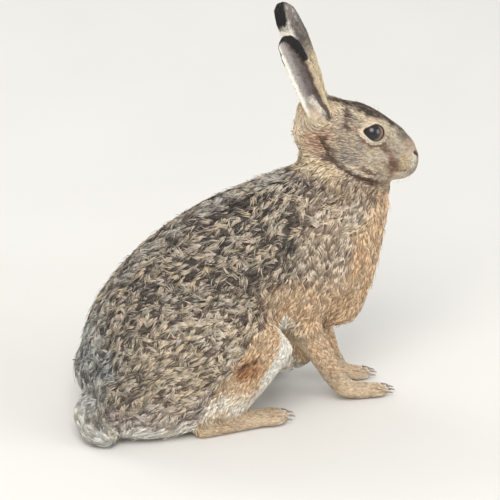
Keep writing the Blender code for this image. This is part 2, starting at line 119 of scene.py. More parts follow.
EYE_RADIUS = 12.3
EYE_SUNK = 1.7  # the larger eyeball's centre lies this much deeper than the node's
EYE_LOOK = (0.13, 0.93, 0.33)
EYE_OPENING = (10.9, 9.5, 8.2)  # half length, height of the upper lid, depth of the lower lid
EYE_CORNER = (1.12, 0.3)  # the back half is this much longer, and so much narrower at its corner
EYE_FRONT_DROP = -1.3  # how much lower the front corner lies than the middle
EYE_GAZE = (-0.48, 0.03)  # the pupil's place along and up the opening, as shares of the look
LID_THICKNESS = 0.9
LID_REACH = 1.75  # the skin bends down to the lids from here, the rims being at 1
SOCKET_DEPTH = 2.5  # how far inside the eyeball the skin ends

# Relief of the head: centre and radii in its axes (y on either side), and how far the skin rises.
HEAD_RELIEF = [
    ((58, 26, -9), (17, 12, 14), 1.6),  # cheek
    ((73, 20, 9), (10, 8, 8), -1.5),  # hollow before the eye
    ((47, 21, 38), (15, 7, 5), 1.3),  # brow
    ((24, 26, 24), (11, 9, 9), -1.0),  # temple
    ((99, 13, 4), (10, 8, 9), 1.5),  # whisker pad
    ((109, 8, 15), (5, 4, 5), 1.0),  # wing of the nostril
    ((101, 0, -19), (9, 8, 6), 1.2),  # chin
    ((94, 0, 30), (10, 6, 6), -0.8),  # saddle of the nose
    ((30, 24, -28), (18, 10, 8), 1.0),  # angle of the jaw
]
NOSTRIL = ((105.5, 11.0, 15.8), (112.8, 5.2, 12.8))
CLEFT = ((117, 0, 11), (114, 0, -2))
MOUTH = [(113, 0, -5), (110, 8, -4), (103, 15, -6), (93, 18, -10)]
# Width and depth of each groove.
NOSTRIL_GROOVE = (1.5, 3.2)
CLEFT_GROOVE = (1.2, 1.8)
MOUTH_GROOVE = (1.3, 1.9)
TOE_GROOVE = (1.5, 3.2)
JAW_CREASE = [(-9, 27, -2), (0, 26, -10), (12, 26, -18.5), (23, 29, -25), (38, 31, -28.5), (57, 30, -30),
              (73, 25, -29.5), (92, 13, -31)]

# ---------------------------------------------------------------- colours, as display values

# Most kinds of fur have a light colour and a dark one.
PALETTE = {
    "back": (174, 160, 142), "back_dark": (48, 39, 36),
    "band": (196, 181, 160), "band_dark": (44, 35, 33),
    # The spine's paler fur is a painted highlight along the top of the back.
    "spine": (184, 176, 162), "spine_dark": (84, 74, 68),
    "flank": (186, 172, 152), "flank_dark": (56, 45, 40),
    "haunch": (204, 189, 166), "haunch_dark": (92, 75, 64),
    "haunch_low": (196, 182, 168), "haunch_low_dark": (98, 86, 78),
    "rump": (186, 186, 178), "rump_dark": (72, 68, 68),
    "shoulder": (208, 191, 168), "shoulder_dark": (140, 119, 102),
    "buff": (222, 192, 156), "buff_dark": (190, 150, 114),
    "orange": (202, 154, 110), "orange_dark": (134, 92, 60), "shade": (84, 62, 46),
    "leg": (226, 197, 162), "leg_dark": (184, 150, 116),
    "foot": (220, 198, 168), "foot_dark": (172, 146, 116),
    # toe_gap is painted shade for the grooves between the toes.
    "toe_gap": (128, 104, 82), "white": (248, 243, 231), "white_dark": (214, 206, 194),
    "tail": (216, 212, 201), "tail_dark": (156, 152, 143), "tail_black": (52, 46, 44),
    "rufous": (208, 174, 147), "rufous_dark": (164, 131, 108),
    "nape_cream": (222, 204, 174), "nape_cream_dark": (188, 165, 138),
    "neck": (182, 161, 138), "neck_dark": (100, 82, 66),
    "crown": (118, 104, 88), "crown_dark": (56, 48, 40),
    "cheek": (194, 178, 157), "cheek_dark": (150, 133, 115),
    "cream": (218, 201, 176), "cream_dark": (186, 166, 140),
    "pale": (214, 199, 175), "pale_dark": (176, 158, 136),
    "stripe": (208, 198, 174), "stripe_dark": (150, 137, 116),
    "temple": (122, 102, 86), "temple_dark": (76, 62, 52),
    "pink_brown": (168, 143, 123), "pink_brown_dark": (122, 97, 80), "snout": (196, 178, 156),
    "lips": (230, 226, 208),
    "throat": (196, 178, 150), "throat_dark": (146, 128, 104),
    "grey": (176, 166, 154), "grey_dark": (128, 116, 106),
    # crease is painted shadow for the jaw's crease.
    "brown": (150, 118, 93), "brown_dark": (110, 83, 65), "crease": (92, 68, 54), "slash": (124, 96, 76),
    "muzzle": (214, 192, 156), "muzzle_dark": (186, 158, 120),
    "nose": (162, 152, 134), "nose_dark": (112, 102, 90),
    "lid": (52, 38, 34), "nostril": (74, 48, 44),
    # ear_hollow is the inner ear's colour darkened by painted shade; ear_notch further down is painted shade.
    "ear_black": (16, 12, 12), "ear_hollow": (118, 106, 102), "ear_hollow_dark": (80, 68, 64),
    "ear_lilac": (184, 178, 172), "ear_lilac_dark": (142, 132, 128),
    "ear_buff": (216, 200, 168), "ear_buff_dark": (172, 150, 120),
    "ear_notch": (92, 74, 66), "ear_notch_dark": (64, 50, 44),
    "ear_back": (122, 114, 106), "ear_back_dark": (76, 69, 65),
}


def linear(colour):
    """Display values from 0 to 255 as linear light."""
    c = np.array(colour, float) / 255
    return np.where(c <= 0.04045, c / 12.92, ((c + 0.055) / 1.055) ** 2.4)


COLOURS = {name: linear(value) for name, value in PALETTE.items()}


# ---------------------------------------------------------------- small geometry tools

def unit(rows):
    """Rows of vectors, or one vector, at length 1."""
    length = np.linalg.norm(rows, axis=-1, keepdims=True)
    return rows / np.maximum(length, 1e-9)


def ramp(values, low, high):
    """0 before low and 1 after high, smoothly. low may be the larger."""
    t = np.clip((values - low) / (high - low), 0, 1)
    return t * t * (3 - 2 * t)


def blob(points, centre, radii, soft=0.35):
    """1 inside an ellipsoid and 0 outside it, with a soft edge."""
    far = np.linalg.norm((points - np.array(centre, float)) / np.array(radii, float), axis=1)
    return ramp(far, 1 + soft, 1 - soft)


def folded(points):
    """Points with the right side's mirrored onto the left."""
    return points * (1, 0, 1) + np.abs(points) * (0, 1, 0)


def from_line(points, a, b):
    """Distance of each point from the line piece a to b, and how far along it the point lies."""
    a, b = np.array(a, float), np.array(b, float)
    along = np.clip((points - a) @ (b - a) / np.dot(b - a, b - a), 0, 1)
    return np.linalg.norm(points - a - along[:, None] * (b - a), axis=1), along


def from_above(points, a, b):
    """from_line as seen from above."""
    flat = (1, 1, 0)
    return from_line(points * flat, a * flat, b * flat)


def strip(points, a, b, radius, soft):
    """1 along a line piece and 0 away from it, with a soft edge."""
    far, _ = from_line(points, a, b)
    return ramp(far / radius, 1 + soft, 1 - soft)


def lined(points, corners, radius, soft):
    """1 along a line of several pieces and 0 away from it."""
    return np.max([strip(points, a, b, radius, soft) for a, b in zip(corners, corners[1:])], axis=0)


def stroke(points, corners, radius, soft):
    """lined on either side of the head, where its depth counts for little."""
    flat = (1, 0.4, 1)
    return lined(points * flat, np.array(corners) * flat, radius, soft)


def head_turned():
    turn = Matrix.Rotation(math.radians(HEAD_TURN), 3, "Z")
    return np.array(turn @ Matrix.Rotation(math.radians(HEAD_PITCH), 3, "Y"))


HEAD_TURNED = head_turned()


def to_head(points):
    return (points - HEAD_AT) @ HEAD_TURNED


def from_head(points):
    return points @ HEAD_TURNED.T + HEAD_AT


def frame_origin():
    """Where the frame's origin lies in the design's axes, found from the left eye."""
    low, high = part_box("eye_left")
    return from_head(np.array(EYE_AT, float)) - np.array((low + high) / 2) / MM


ORIGIN = frame_origin()


def to_frame(points):
    """Design millimetres to the frame's metres."""
    return (np.asarray(points, float) - ORIGIN) * MM


class Surface:
    """A triangle mesh in millimetres, with what the skin and the coat ask of it."""

    def __init__(self, points, triangles):
        self.points = points
        self.triangles = triangles
        count = len(points)
        pairs = np.vstack([triangles[:, [0, 1]], triangles[:, [1, 2]], triangles[:, [2, 0]]])
        pairs.sort(axis=1)
        self.keys = np.unique(pairs[:, 0].astype(np.int64) * count + pairs[:, 1])
        self.edges = np.stack([self.keys // count, self.keys % count], 1)
        both = np.vstack([self.edges, self.edges[:, ::-1]])
        both = both[both[:, 0].argsort(kind="stable")]
        self.neighbours = both[:, 1]
        self.first = np.searchsorted(both[:, 0], np.arange(count))
        self.degree = np.bincount(both[:, 0], minlength=count).astype(float)

    def face_vectors(self):
        a, b, c = (self.points[self.triangles[:, k]] for k in range(3))
        return np.cross(b - a, c - a)

    def normals(self):
        across = self.face_vectors()
        total = np.zeros_like(self.points)
        for axis in range(3):
            for corner in self.triangles.T:
                total[:, axis] += np.bincount(corner, across[:, axis], len(self.points))
        return unit(total)

    def neighbour_mean(self, values):
        sums = np.add.reduceat(values[self.neighbours], self.first, axis=0)
        return sums / self.degree.reshape(-1, *[1] * (values.ndim - 1))

    def smoothed(self, values, steps, share=0.6):
        """values after that many steps towards their neighbours' mean. share may differ by vertex."""
        values = np.array(values, float)
        for _ in range(steps):
            values = values + share * (self.neighbour_mean(values) - values)
        return values

    def tree(self):
        return BVHTree.FromPolygons(self.points.tolist(), self.triangles.tolist())


def surface_of(mesh):
    """A Blender mesh of any faces, as a Surface."""
    mesh.calc_loop_triangles()
    points = np.empty(3 * len(mesh.vertices), np.float32)
    mesh.vertices.foreach_get("co", points)
    triangles = np.empty(3 * len(mesh.loop_triangles), np.int32)
    mesh.loop_triangles.foreach_get("vertices", triangles)
    return Surface(points.reshape(-1, 3).astype(float), triangles.reshape(-1, 3).astype(np.int64))


def evaluated_mesh(made):
    bpy.context.view_layer.update()
    graph = bpy.context.evaluated_depsgraph_get()
    return bpy.data.meshes.new_from_object(made.evaluated_get(graph))


def linked(name, data):
    made = bpy.data.objects.new(name, data)
    bpy.context.scene.collection.objects.link(made)
    return made


def mesh_object(name, points, triangles):
    """A smooth-shaded mesh object from design millimetres, quick to make at any size."""
    mesh = bpy.data.meshes.new(name)
    mesh.vertices.add(len(points))
    mesh.vertices.foreach_set("co", to_frame(points).astype(np.float32).ravel())
    mesh.loops.add(3 * len(triangles))
    mesh.loops.foreach_set("vertex_index", np.asarray(triangles, np.int32).ravel())
    mesh.polygons.add(len(triangles))
    mesh.polygons.foreach_set("loop_start", np.arange(0, 3 * len(triangles), 3, dtype=np.int32))
    mesh.update(calc_edges=True)
    mesh.validate()
    mesh.shade_smooth()
    return linked(name, mesh)


def modify(made, kind, **settings):
    """Applies one modifier to a piece."""
    modifier = made.modifiers.new(kind.lower(), kind)
    for name, value in settings.items():
        setattr(modifier, name, value)
    made.data = evaluated_mesh(made)
    made.modifiers.clear()


def put_on(made, finish):
    """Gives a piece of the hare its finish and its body."""
    made.data.materials.append(finish)
    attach(made, "root")


def give_colours(made, name, colours):
    layer = made.data.color_attributes.new(name, "FLOAT_COLOR", "POINT")
    rgba = np.ones((len(colours), 4), np.float32)
    rgba[:, :3] = colours
    layer.data.foreach_set("color", rgba.ravel())


def give_vectors(made, name, vectors):
    layer = made.data.attributes.new(name, "FLOAT_VECTOR", "POINT")
    layer.data.foreach_set("vector", np.asarray(vectors, np.float32).ravel())


# ---------------------------------------------------------------- the skin's shape

def flesh_nodes():
    return [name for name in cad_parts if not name.startswith("claw")]


def region_of(name):
    for start, region in REGIONS.items():
        if name.startswith(start):
            return region
    return "trunk"


def welded(name, swell):
    """A node's points in design millimetres, moved out by swell, and its triangles."""
    shape = bmesh.new()
    shape.from_mesh(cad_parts[name].data)
    bmesh.ops.remove_doubles(shape, verts=shape.verts, dist=1e-5)
    bmesh.ops.triangulate(shape, faces=shape.faces)
    shape.normal_update()
    points = np.array([v.co / MM + v.normal * swell for v in shape.verts]) + ORIGIN
    triangles = np.array([[v.index for v in face.verts] for face in shape.faces])
    shape.free()
    return points, triangles


def joined(parts):
    """Several (points, triangles) as one, with the number of the part that each triangle is from."""
    points, triangles, source, start = [], [], [], 0
    for number, (p, t) in enumerate(parts):
        points.append(p)
        triangles.append(t + start)
        source.append(np.full(len(t), number))
        start += len(p)
    return np.vstack(points), np.vstack(triangles), np.concatenate(source)


def fused_flesh():
    """One closed mesh round all the flesh, eyes filled in, as a Blender mesh in millimetres."""
    points, triangles, _ = joined([welded(name, SWELL) for name in flesh_nodes()])
    mesh = bpy.data.meshes.new("flesh")
    mesh.from_pydata(points.tolist(), [], triangles.tolist())
    whole = linked("flesh", mesh)
    modify(whole, "REMESH", mode="VOXEL", voxel_size=VOXEL)
    mesh = whole.data
    bpy.data.objects.remove(whole)
    return mesh


def largest_island(surface):
    """The surface without the small closed shells that fusing leaves inside it."""
    root = list(range(len(surface.points)))
    for a, b in surface.edges.tolist():
        while root[a] != a:
            root[a] = root[root[a]]
            a = root[a]
        while root[b] != b:
            root[b] = root[root[b]]
            b = root[b]
        root[max(a, b)] = min(a, b)
    for k in range(len(root)):
        root[k] = root[root[k]]
    root = np.array(root)
    kept = root == np.bincount(root).argmax()
    number = np.cumsum(kept) - 1
    triangles = surface.triangles[kept[surface.triangles[:, 0]]]
    return Surface(surface.points[kept], number[triangles])


def region_weights(surface):
    """Each region's share at every vertex, running smoothly from one to the next."""
    names = flesh_nodes()
    points, triangles, source = joined([welded(name, 0) for name in names])
    order = list(REGION_SIZES)
    of_triangle = np.array([order.index(region_of(name)) for name in names])[source]
    tree = BVHTree.FromPolygons(points.tolist(), triangles.tolist())
    nearest = [tree.find_nearest(p)[2] for p in surface.points.tolist()]
    return surface.smoothed(np.eye(len(order))[of_triangle[nearest]], REGION_BLEND, 0.9)


def named(weights):
    """The columns of region_weights by region."""
    return {region: weights[:, k] for k, region in enumerate(REGION_SIZES)}


def sizes_at(surface, weights):
    """The coat's and skin's sizes at every vertex."""
    found = {}
    for k, name in enumerate(SIZE_NAMES):
        found[name] = sum(weights[region] * sizes[k] for region, sizes in REGION_SIZES.items())
    along = to_head(surface.points)[:, 0]
    head = weights["head"]
    for name, row in (("depth", HEAD_DEPTH), ("length", HEAD_LENGTH), ("width", HEAD_WIDTH)):
        own = np.interp(along, HEAD_STATIONS, row)
        found[name] = found[name] + head * (own - REGION_SIZES["head"][SIZE_NAMES.index(name)])
    return found


def settled(surface, weights):
    """The skin: the fused flesh smoothed out and drawn in by the coat's depth."""
    sizes = sizes_at(surface, weights)
    points = surface.points.copy()
    for step in range(int(max(sizes["steps"]))):
        share = 0.6 * np.clip(sizes["steps"] - step, 0, 1)[:, None]
        points = points + share * (surface.neighbour_mean(points) - points)
    surface.points = points
    inward = surface.smoothed(surface.normals(), 6)
    surface.points = points - unit(inward) * sizes["depth"][:, None]
    surface.points = surface.smoothed(surface.points, 3, 0.5)
    surface.points[:, 2] = np.maximum(surface.points[:, 2], OFF_FLOOR)
    return surface


def divided(surface, weights, chosen):
    """Divides each triangle whose corners are all chosen into four, and its neighbours to match."""
    count = len(surface.points)
    a, b = surface.edges.T
    cut = chosen[a] & chosen[b]
    number = np.full(len(a), -1)
    number[cut] = count + np.arange(cut.sum())
    corners = surface.triangles
    middles = np.empty_like(corners)
    for k in range(3):
        ends = np.sort(corners[:, [k, (k + 1) % 3]], axis=1)
        middles[:, k] = number[np.searchsorted(surface.keys, ends[:, 0] * count + ends[:, 1])]
    cuts = (middles >= 0).sum(1)
    p, q, r = corners[cuts == 3].T
    u, v, w = middles[cuts == 3].T
    quarters = [(p, u, w), (u, q, v), (w, v, r), (u, v, w)]
    turn = (middles[cuts == 1].argmax(1)[:, None] + np.arange(3)) % 3
    p, q, r = np.take_along_axis(corners[cuts == 1], turn, 1).T
    u = middles[cuts == 1].max(1)
    halves = [(p, u, r), (u, q, r)]
    triangles = np.vstack([corners[cuts == 0]] + [np.stack(t, 1) for t in quarters + halves])
    points = np.vstack([surface.points, (surface.points[a[cut]] + surface.points[b[cut]]) / 2])
    weights = np.vstack([weights, (weights[a[cut]] + weights[b[cut]]) / 2])
    return Surface(points, triangles), weights


def finer_face(surface, weights):
    """Divides the faces of the head, and again round the eyes, the nose and the mouth."""
    local = to_head(surface.points)
    face = (local[:, 0] > -12) & (np.abs(local[:, 1]) < 36) & (np.abs(local[:, 2]) < 46)
    surface, weights = divided(surface, weights, face)
    local = to_head(surface.points)
    mirrored = folded(local)
    eye = (np.linalg.norm(mirrored - EYE_AT, axis=1) < 21) & (mirrored[:, 1] > 12)
    surface, weights = divided(surface, weights, eye | (local[:, 0] > 90))
    local = to_head(surface.points)
    share = 0.5 * ramp(local[:, 0], -14, -6)[:, None] * (np.abs(local[:, 2:]) < 50)
    surface.points = surface.smoothed(surface.points, 8, share)
    return surface, weights


class Eye:
    """One eye's place and opening, in the head's axes."""

    def __init__(self, side):
        self.side = side
        self.look = unit(np.array(EYE_LOOK, float) * (1, side, 1))
        self.centre = np.array(EYE_AT, float) * (1, side, 1) - self.look * EYE_SUNK
        self.along = unit(np.array((1.0, 0, 0)) - self.look * self.look[0])
        self.up = np.cross(self.look, self.along) * -side
        if self.up[2] < 0:
            self.up = -self.up
        self.gaze = unit(self.look + self.along * EYE_GAZE[0] + self.up * EYE_GAZE[1])

    def opening(self, local):
        """Distance from the opening's middle, 1 at the lids' rims. Points behind the eye get 9."""
        off = local - self.centre
        u = off @ self.along / EYE_OPENING[0]
        v = off @ self.up + EYE_FRONT_DROP * u * np.abs(u)
        v = v / np.where(v > 0, EYE_OPENING[1], EYE_OPENING[2])
        u = np.where(u < 0, u / EYE_CORNER[0], u)
        v = v / np.where(u < 0, 1 - EYE_CORNER[1] * np.minimum(u**2, 1), 1)
        return np.where(off @ self.look > 0, np.hypot(u, v), 9.0)

    def rim(self, turn, radius):
        """A point of the lids' rim, at that turn round the opening and distance from the centre."""
        u = math.cos(turn)
        v = math.sin(turn) * (EYE_OPENING[1] if math.sin(turn) > 0 else EYE_OPENING[2])
        if u < 0:
            v *= 1 - EYE_CORNER[1] * u**2
            u *= EYE_CORNER[0]
        flat = self.along * u * EYE_OPENING[0] + self.up * (v - EYE_FRONT_DROP * u * abs(u))
        out = math.sqrt(max(radius**2 - np.dot(flat, flat), 0))
        return self.centre + flat + self.look * out


EYES = {name: Eye(side) for name, side in SIDES.items()}


def groove(far, width, depth):
    """How deep a groove is at a distance from its line."""
    return depth * np.exp(-((far / width) ** 2))


def head_relief(surface, weights):
    """Cheeks, brows, nose and mouth, raised or sunk along the skin's normals."""
    head = weights["head"]
    local = to_head(surface.points)
    mirrored = folded(local)
    rise = np.zeros(len(local))
    for centre, radii, height in HEAD_RELIEF:
        far = (mirrored - np.array(centre, float)) / np.array(radii, float)
        rise += height * np.exp(-1.2 * (far**2).sum(1))
    rise -= groove(from_line(mirrored, *NOSTRIL)[0], *NOSTRIL_GROOVE)
    rise -= groove(from_line(local, *CLEFT)[0], *CLEFT_GROOVE)
    for a, b in zip(MOUTH, MOUTH[1:]):
        sunk = groove(from_line(mirrored, a, b)[0], *MOUTH_GROOVE)
        rise = np.minimum(rise, rise * 0.6 - sunk)
    rise = rise * head
    crease = stroke(mirrored, JAW_CREASE, 2.6, 0.9) * (mirrored[:, 1] > 8)
    rise -= 3.2 * crease * (head + weights["neck"])
    surface.points = surface.points + surface.normals() * rise[:, None]
    return surface


def open_lids(surface, head):
    """Draws the skin down to each eyeball and opens it along the lids."""
    local = to_head(surface.points)
    lid = EYE_RADIUS + LID_THICKNESS
    for eye in EYES.values():
        off = local - eye.centre
        far = np.linalg.norm(off, axis=1)
        local = np.where(((far < lid) & (head > 0.5))[:, None], eye.centre + unit(off) * lid, local)
        open_at = eye.opening(local)
        off = local - eye.centre
        far = np.linalg.norm(off, axis=1)
        near = (open_at < LID_REACH) & (head > 0.5) & (far < EYE_RADIUS + 7)
        wanted = lid + (far - lid) * ramp(open_at, 1.0, LID_REACH)
        wanted = np.where(open_at < 1.0, EYE_RADIUS - SOCKET_DEPTH, np.maximum(wanted, lid - 0.1))
        local = np.where(near[:, None], eye.centre + unit(off) * wanted[:, None], local)
    surface.points = np.where(head[:, None] > 0.5, from_head(local), surface.points)
    return surface


TOE_LENGTH = 17


def toe_lines():
    """The line between each two toes of a foot, from between the claws to the toes' roots."""
    found = []
    for foot in ("fore_right", "fore_left", "hind_right", "hind_left"):
        roots = []
        for toe in range(1, 5):
            low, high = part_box(f"claw_{foot}_{toe}")
            middle = (np.array(low) + np.array(high)) / 2 / MM + ORIGIN
            roots.append((low[0] / MM + ORIGIN[0], middle[1], middle[2] + 4))
        for a, b in zip(sorted(roots, key=lambda r: r[1]), sorted(roots, key=lambda r: r[1])[1:]):
            front = (np.array(a) + np.array(b)) / 2
            found.append((front + (3, 0, 0), front + (-TOE_LENGTH, 0, 4)))
    return found


TOE_LINES = toe_lines()


def parted_toes(surface):
    """Sinks a groove between the toes."""
    rise = np.zeros(len(surface.points))
    for a, b in TOE_LINES:
        far, along = from_above(surface.points, a, b)
        above = ramp(surface.points[:, 2], 1, 4)
        rise = np.minimum(rise, -groove(far, *TOE_GROOVE) * (1 - 0.7 * along) * above)
    surface.points = surface.points + surface.normals() * rise[:, None]
    return surface


def make_skin_surface():
    coarse = largest_island(surface_of(fused_flesh()))
    weights = region_weights(coarse)
    skin, weights = finer_face(settled(coarse, named(weights)), weights)
    toes = np.zeros(len(skin.points), bool)
    for a, b in TOE_LINES:
        toes |= from_line(skin.points, a, b)[0] < 9
    skin, weights = divided(skin, weights, toes)
    weights = named(weights)
    skin = parted_toes(open_lids(head_relief(skin, weights), weights["head"]))
    return skin, weights


# ---------------------------------------------------------------- the ears' own measure

def smooth_path(corners, steps):
    """A Catmull-Rom curve through corners."""
    rows = np.array(corners, float)
    padded = np.vstack([2 * rows[0] - rows[1], rows, 2 * rows[-1] - rows[-2]])
    found = []
    for a, b, c, d in zip(padded, padded[1:], padded[2:], padded[3:]):
        for t in np.arange(steps) / steps:
            curve = 2 * b + (c - a) * t + (2 * a - 5 * b + 4 * c - d) * t**2
            found.append((curve + (3 * b - a - 3 * c + d) * t**3) / 2)
    return np.array(found + [rows[-1]])


class Ear:
    """How far along and across one ear a point lies, and whether it faces the hollow."""

    def __init__(self, name):
        side = SIDES[name]
        axis = smooth_path([(x, y * side, z) for x, y, z in EAR_AXIS], 6)
        self.share = np.linspace(0, 1, len(axis))
        axis += np.outer(1 - self.share, EAR_BASE_SHIFT[name]) + np.outer(self.share, EAR_TIP_SHIFT[name])
        turn = np.array(Matrix.Rotation(math.radians(HEAD_TURN), 3, "Z"))
        self.axis = (axis - HEAD_AT) @ turn.T + HEAD_AT
        self.tangent = unit(np.gradient(self.axis, axis=0))
        opens = unit(np.array(EAR_OPENS) * (1, side, 1)) @ turn.T
        self.opens = unit(opens - (self.tangent @ opens)[:, None] * self.tangent)
        self.across = np.cross(self.tangent, self.opens) * -side  # towards the front edge

    def measure(self, points, normals):
        """along 0 to 1, across -1 at the rear edge to 1 at the front, inner 1 in the hollow."""
        gap = np.linalg.norm(points[:, None] - self.axis[None], axis=2)
        k = gap.argmin(1)
        off = points - self.axis[k]
        along = self.share[k]
        wrap = np.radians(np.minimum(np.interp(along, EAR_LENGTHWISE, EAR_WRAP), 90))
        radius = np.interp(along, EAR_LENGTHWISE, EAR_WIDTH) / 2 / np.sin(wrap)
        from_middle = off - self.opens[k] * (radius * 0.5)[:, None]
        across = (off * self.across[k]).sum(1) / (radius * np.sin(wrap))
        inner = ((from_middle * normals).sum(1) < 0).astype(float)
        return along, np.clip(across, -1.2, 1.2), inner, self.tangent[k]


EARS = {name: Ear(name) for name in SIDES}


def ear_measures(points, normals, weight):
    """Ear.measure for all the skin's points at once, each from its own side's ear."""
    along, across, inner = (np.zeros(len(points)) for _ in range(3))
    tangent = np.tile((0.0, 0, 1), (len(points), 1))
    local_y = to_head(points)[:, 1]
    for name, side in SIDES.items():
        own = np.flatnonzero((weight > 0.02) & (local_y * side > 0))
        found = EARS[name].measure(points[own], normals[own])
        along[own], across[own], inner[own], tangent[own] = found
    return along, across, inner, tangent


# ---------------------------------------------------------------- the lie of the coat

FLOW_STATIONS = [-178, -150, -110, -60, -10, 25, 60, 110]
FLOW_DROP = [86, 54, 16, -4, 2, 22, 28, 14]  # degrees below the horizontal, backwards


def tail_direction(points):
    path = smooth_path(TAIL_PATH, 5)
    k = np.linalg.norm(points[:, None] - path[None], axis=2).argmin(1)
    return unit(np.gradient(path, axis=0))[k]


def flow_field(surface, weights, normals, ear_tangent):
    """The way the coat lies at every vertex, along the skin."""
    points = surface.points
    drop = np.radians(np.interp(points[:, 0], FLOW_STATIONS, FLOW_DROP) + 14 * np.abs(normals[:, 1]))
    back = np.stack([-np.cos(drop), np.zeros(len(points)), -np.sin(drop)], 1)
    side = np.sign(points[:, 1])
    front = ramp(normals[:, 0], 0.1, 0.6)[:, None]
    under = ramp(normals[:, 2], -0.35, -0.75)[:, None]
    trunk = back * (1 - front) + np.array((-0.12, 0, -1.0)) * front
    trunk = trunk * (1 - under) + np.array((-1.0, 0, 0.1)) * under
    haunch = unit(back + np.array((-0.15, 0, -0.12)))
    head = np.outer(np.abs(normals[:, 1]), (0, 0, -0.22)) + (-1.0, 0, 0)
    nape = ramp(normals[:, 0], 0.2, -0.3)[:, None]
    neck = nape * np.array((-0.75, 0, -0.65)) + (1 - nape) * np.array((-0.2, 0, -1.0))
    forearm = np.zeros_like(points)
    for name, sign in SIDES.items():
        way = unit(np.array(WRIST[name], float) - ELBOW[name])
        forearm[side == sign] = way
    ways = {
        "head": head @ HEAD_TURNED.T, "ear": ear_tangent, "neck": neck, "trunk": trunk,
        "tail": tail_direction(points), "thigh": haunch, "arm": np.array((-0.35, 0, -0.93)),
        "shank": unit(np.array(KNEE_TO_HOCK, float)), "forearm": forearm,
        "foot": np.array((1.0, 0, -0.1)), "paw": np.array((1.0, 0, -0.2)),
    }
    flow = sum(weights[region][:, None] * way for region, way in ways.items())
    flow = along_skin(flow, normals)
    return along_skin(surface.smoothed(flow, 12), normals)


def along_skin(flow, normals):
    return unit(flow - (flow * normals).sum(1)[:, None] * normals)


# ---------------------------------------------------------------- markings

class Markings:
    """A light and a dark colour at every point, and the share of the coat that is dark there."""

    def __init__(self, count):
        self.light, self.dark = np.zeros((2, count, 3))
        self.share = np.zeros(count)

    def paint(self, mask, colour, share, dark=None):
        """Paints a colour where mask is 1, and its own dark one unless dark names another."""
        light = COLOURS[colour]
        dark = COLOURS.get(dark or f"{colour}_dark", light)
        self.light += mask[:, None] * (light - self.light)
        self.dark += mask[:, None] * (dark - self.dark)
        self.share += mask * (share - self.share)

    def mean(self):
        return self.light + self.share[:, None] * (self.dark - self.light)


def wobbled(points, size, length):
    """Points moved a little by smooth noise, so that the edges of the markings wander."""
    return points + size * np.array([noise.noise_vector(p) for p in (points / length).tolist()])


def low_front(points):
    """1 in the smooth buff fur under the shoulder and along the belly's edge."""
    x, z = points[:, 0], points[:, 2]
    return ramp(z + 0.25 * x, 194, 142) * ramp(x, -4, 54)


def chest(points, normals):
    """1 in the smooth buff fur of the chest, which faces forward."""
    return ramp(normals[:, 0], 0.1, 0.5) * ramp(points[:, 0], 70, 100)


# A broken dark line down each side of the spine.
BACK_LINE = [(19, 16, 260), (-12, 22, 245), (-45, 17, 233), (-81, 14, 214), (-110, 16, 191), (-133, 20, 162),
             (-147, 21, 145), (-159, 22, 116)]


def body_markings(paint, points, normals):
    points = wobbled(points, 9, 14.0)
    sided = folded(points)
    x, y, z = sided.T
    paint(ramp(z + 0.3 * y, 225, 180) * ramp(x, 75, 20), "flank", 0.46)
    paint(ramp(y, 12, 24) * ramp(y, 62, 44) * ramp(x, 95, 50) * ramp(z, 62, 110), "band", 0.58)
    paint(ramp(x, 46, 84) * ramp(z, 268, 232), "shoulder", 0.42)
    paint(blob(sided, (-62, 80, 98), (76, 34, 58), 0.45), "haunch", 0.42)
    paint(ramp(z, 66, 36) * ramp(x, 10, -20), "haunch_low", 0.3)
    paint(lined(sided, BACK_LINE, 5.5, 0.5) * ramp(z, 96, 120), "band", 0.82)
    # A paler stripe along the spine where the skin faces up: a painted highlight of light catching the top of
    # the back.
    upward = ramp(normals[:, 2] - 0.6 * normals[:, 0], 0.2, 0.5)
    paint(ramp(y, 12, 5) * upward * ramp(x, 70, 40), "spine", 0.46)
    paint(ramp(x + 0.45 * (z - 90), -124, -158) * ramp(y, 60, 30), "rump", 0.46)
    paint(ramp(normals[:, 0], 0.12, 0.5) * ramp(x, 70, 100), "buff", 0.24)
    paint(low_front(points), "buff", 0.2)
    paint(ramp(normals[:, 2], -0.25, -0.6) * ramp(x, 100, 66), "white", 0.15)
    paint(blob(sided, (40, 10, 54), (46, 26, 32)), "white", 0.15)
    # The low belly fur between the legs, white painted greyer: painted shade.
    paint(blob(sided, (78, 2, 42), (28, 24, 28)), "white", 0.35, "pale_dark")


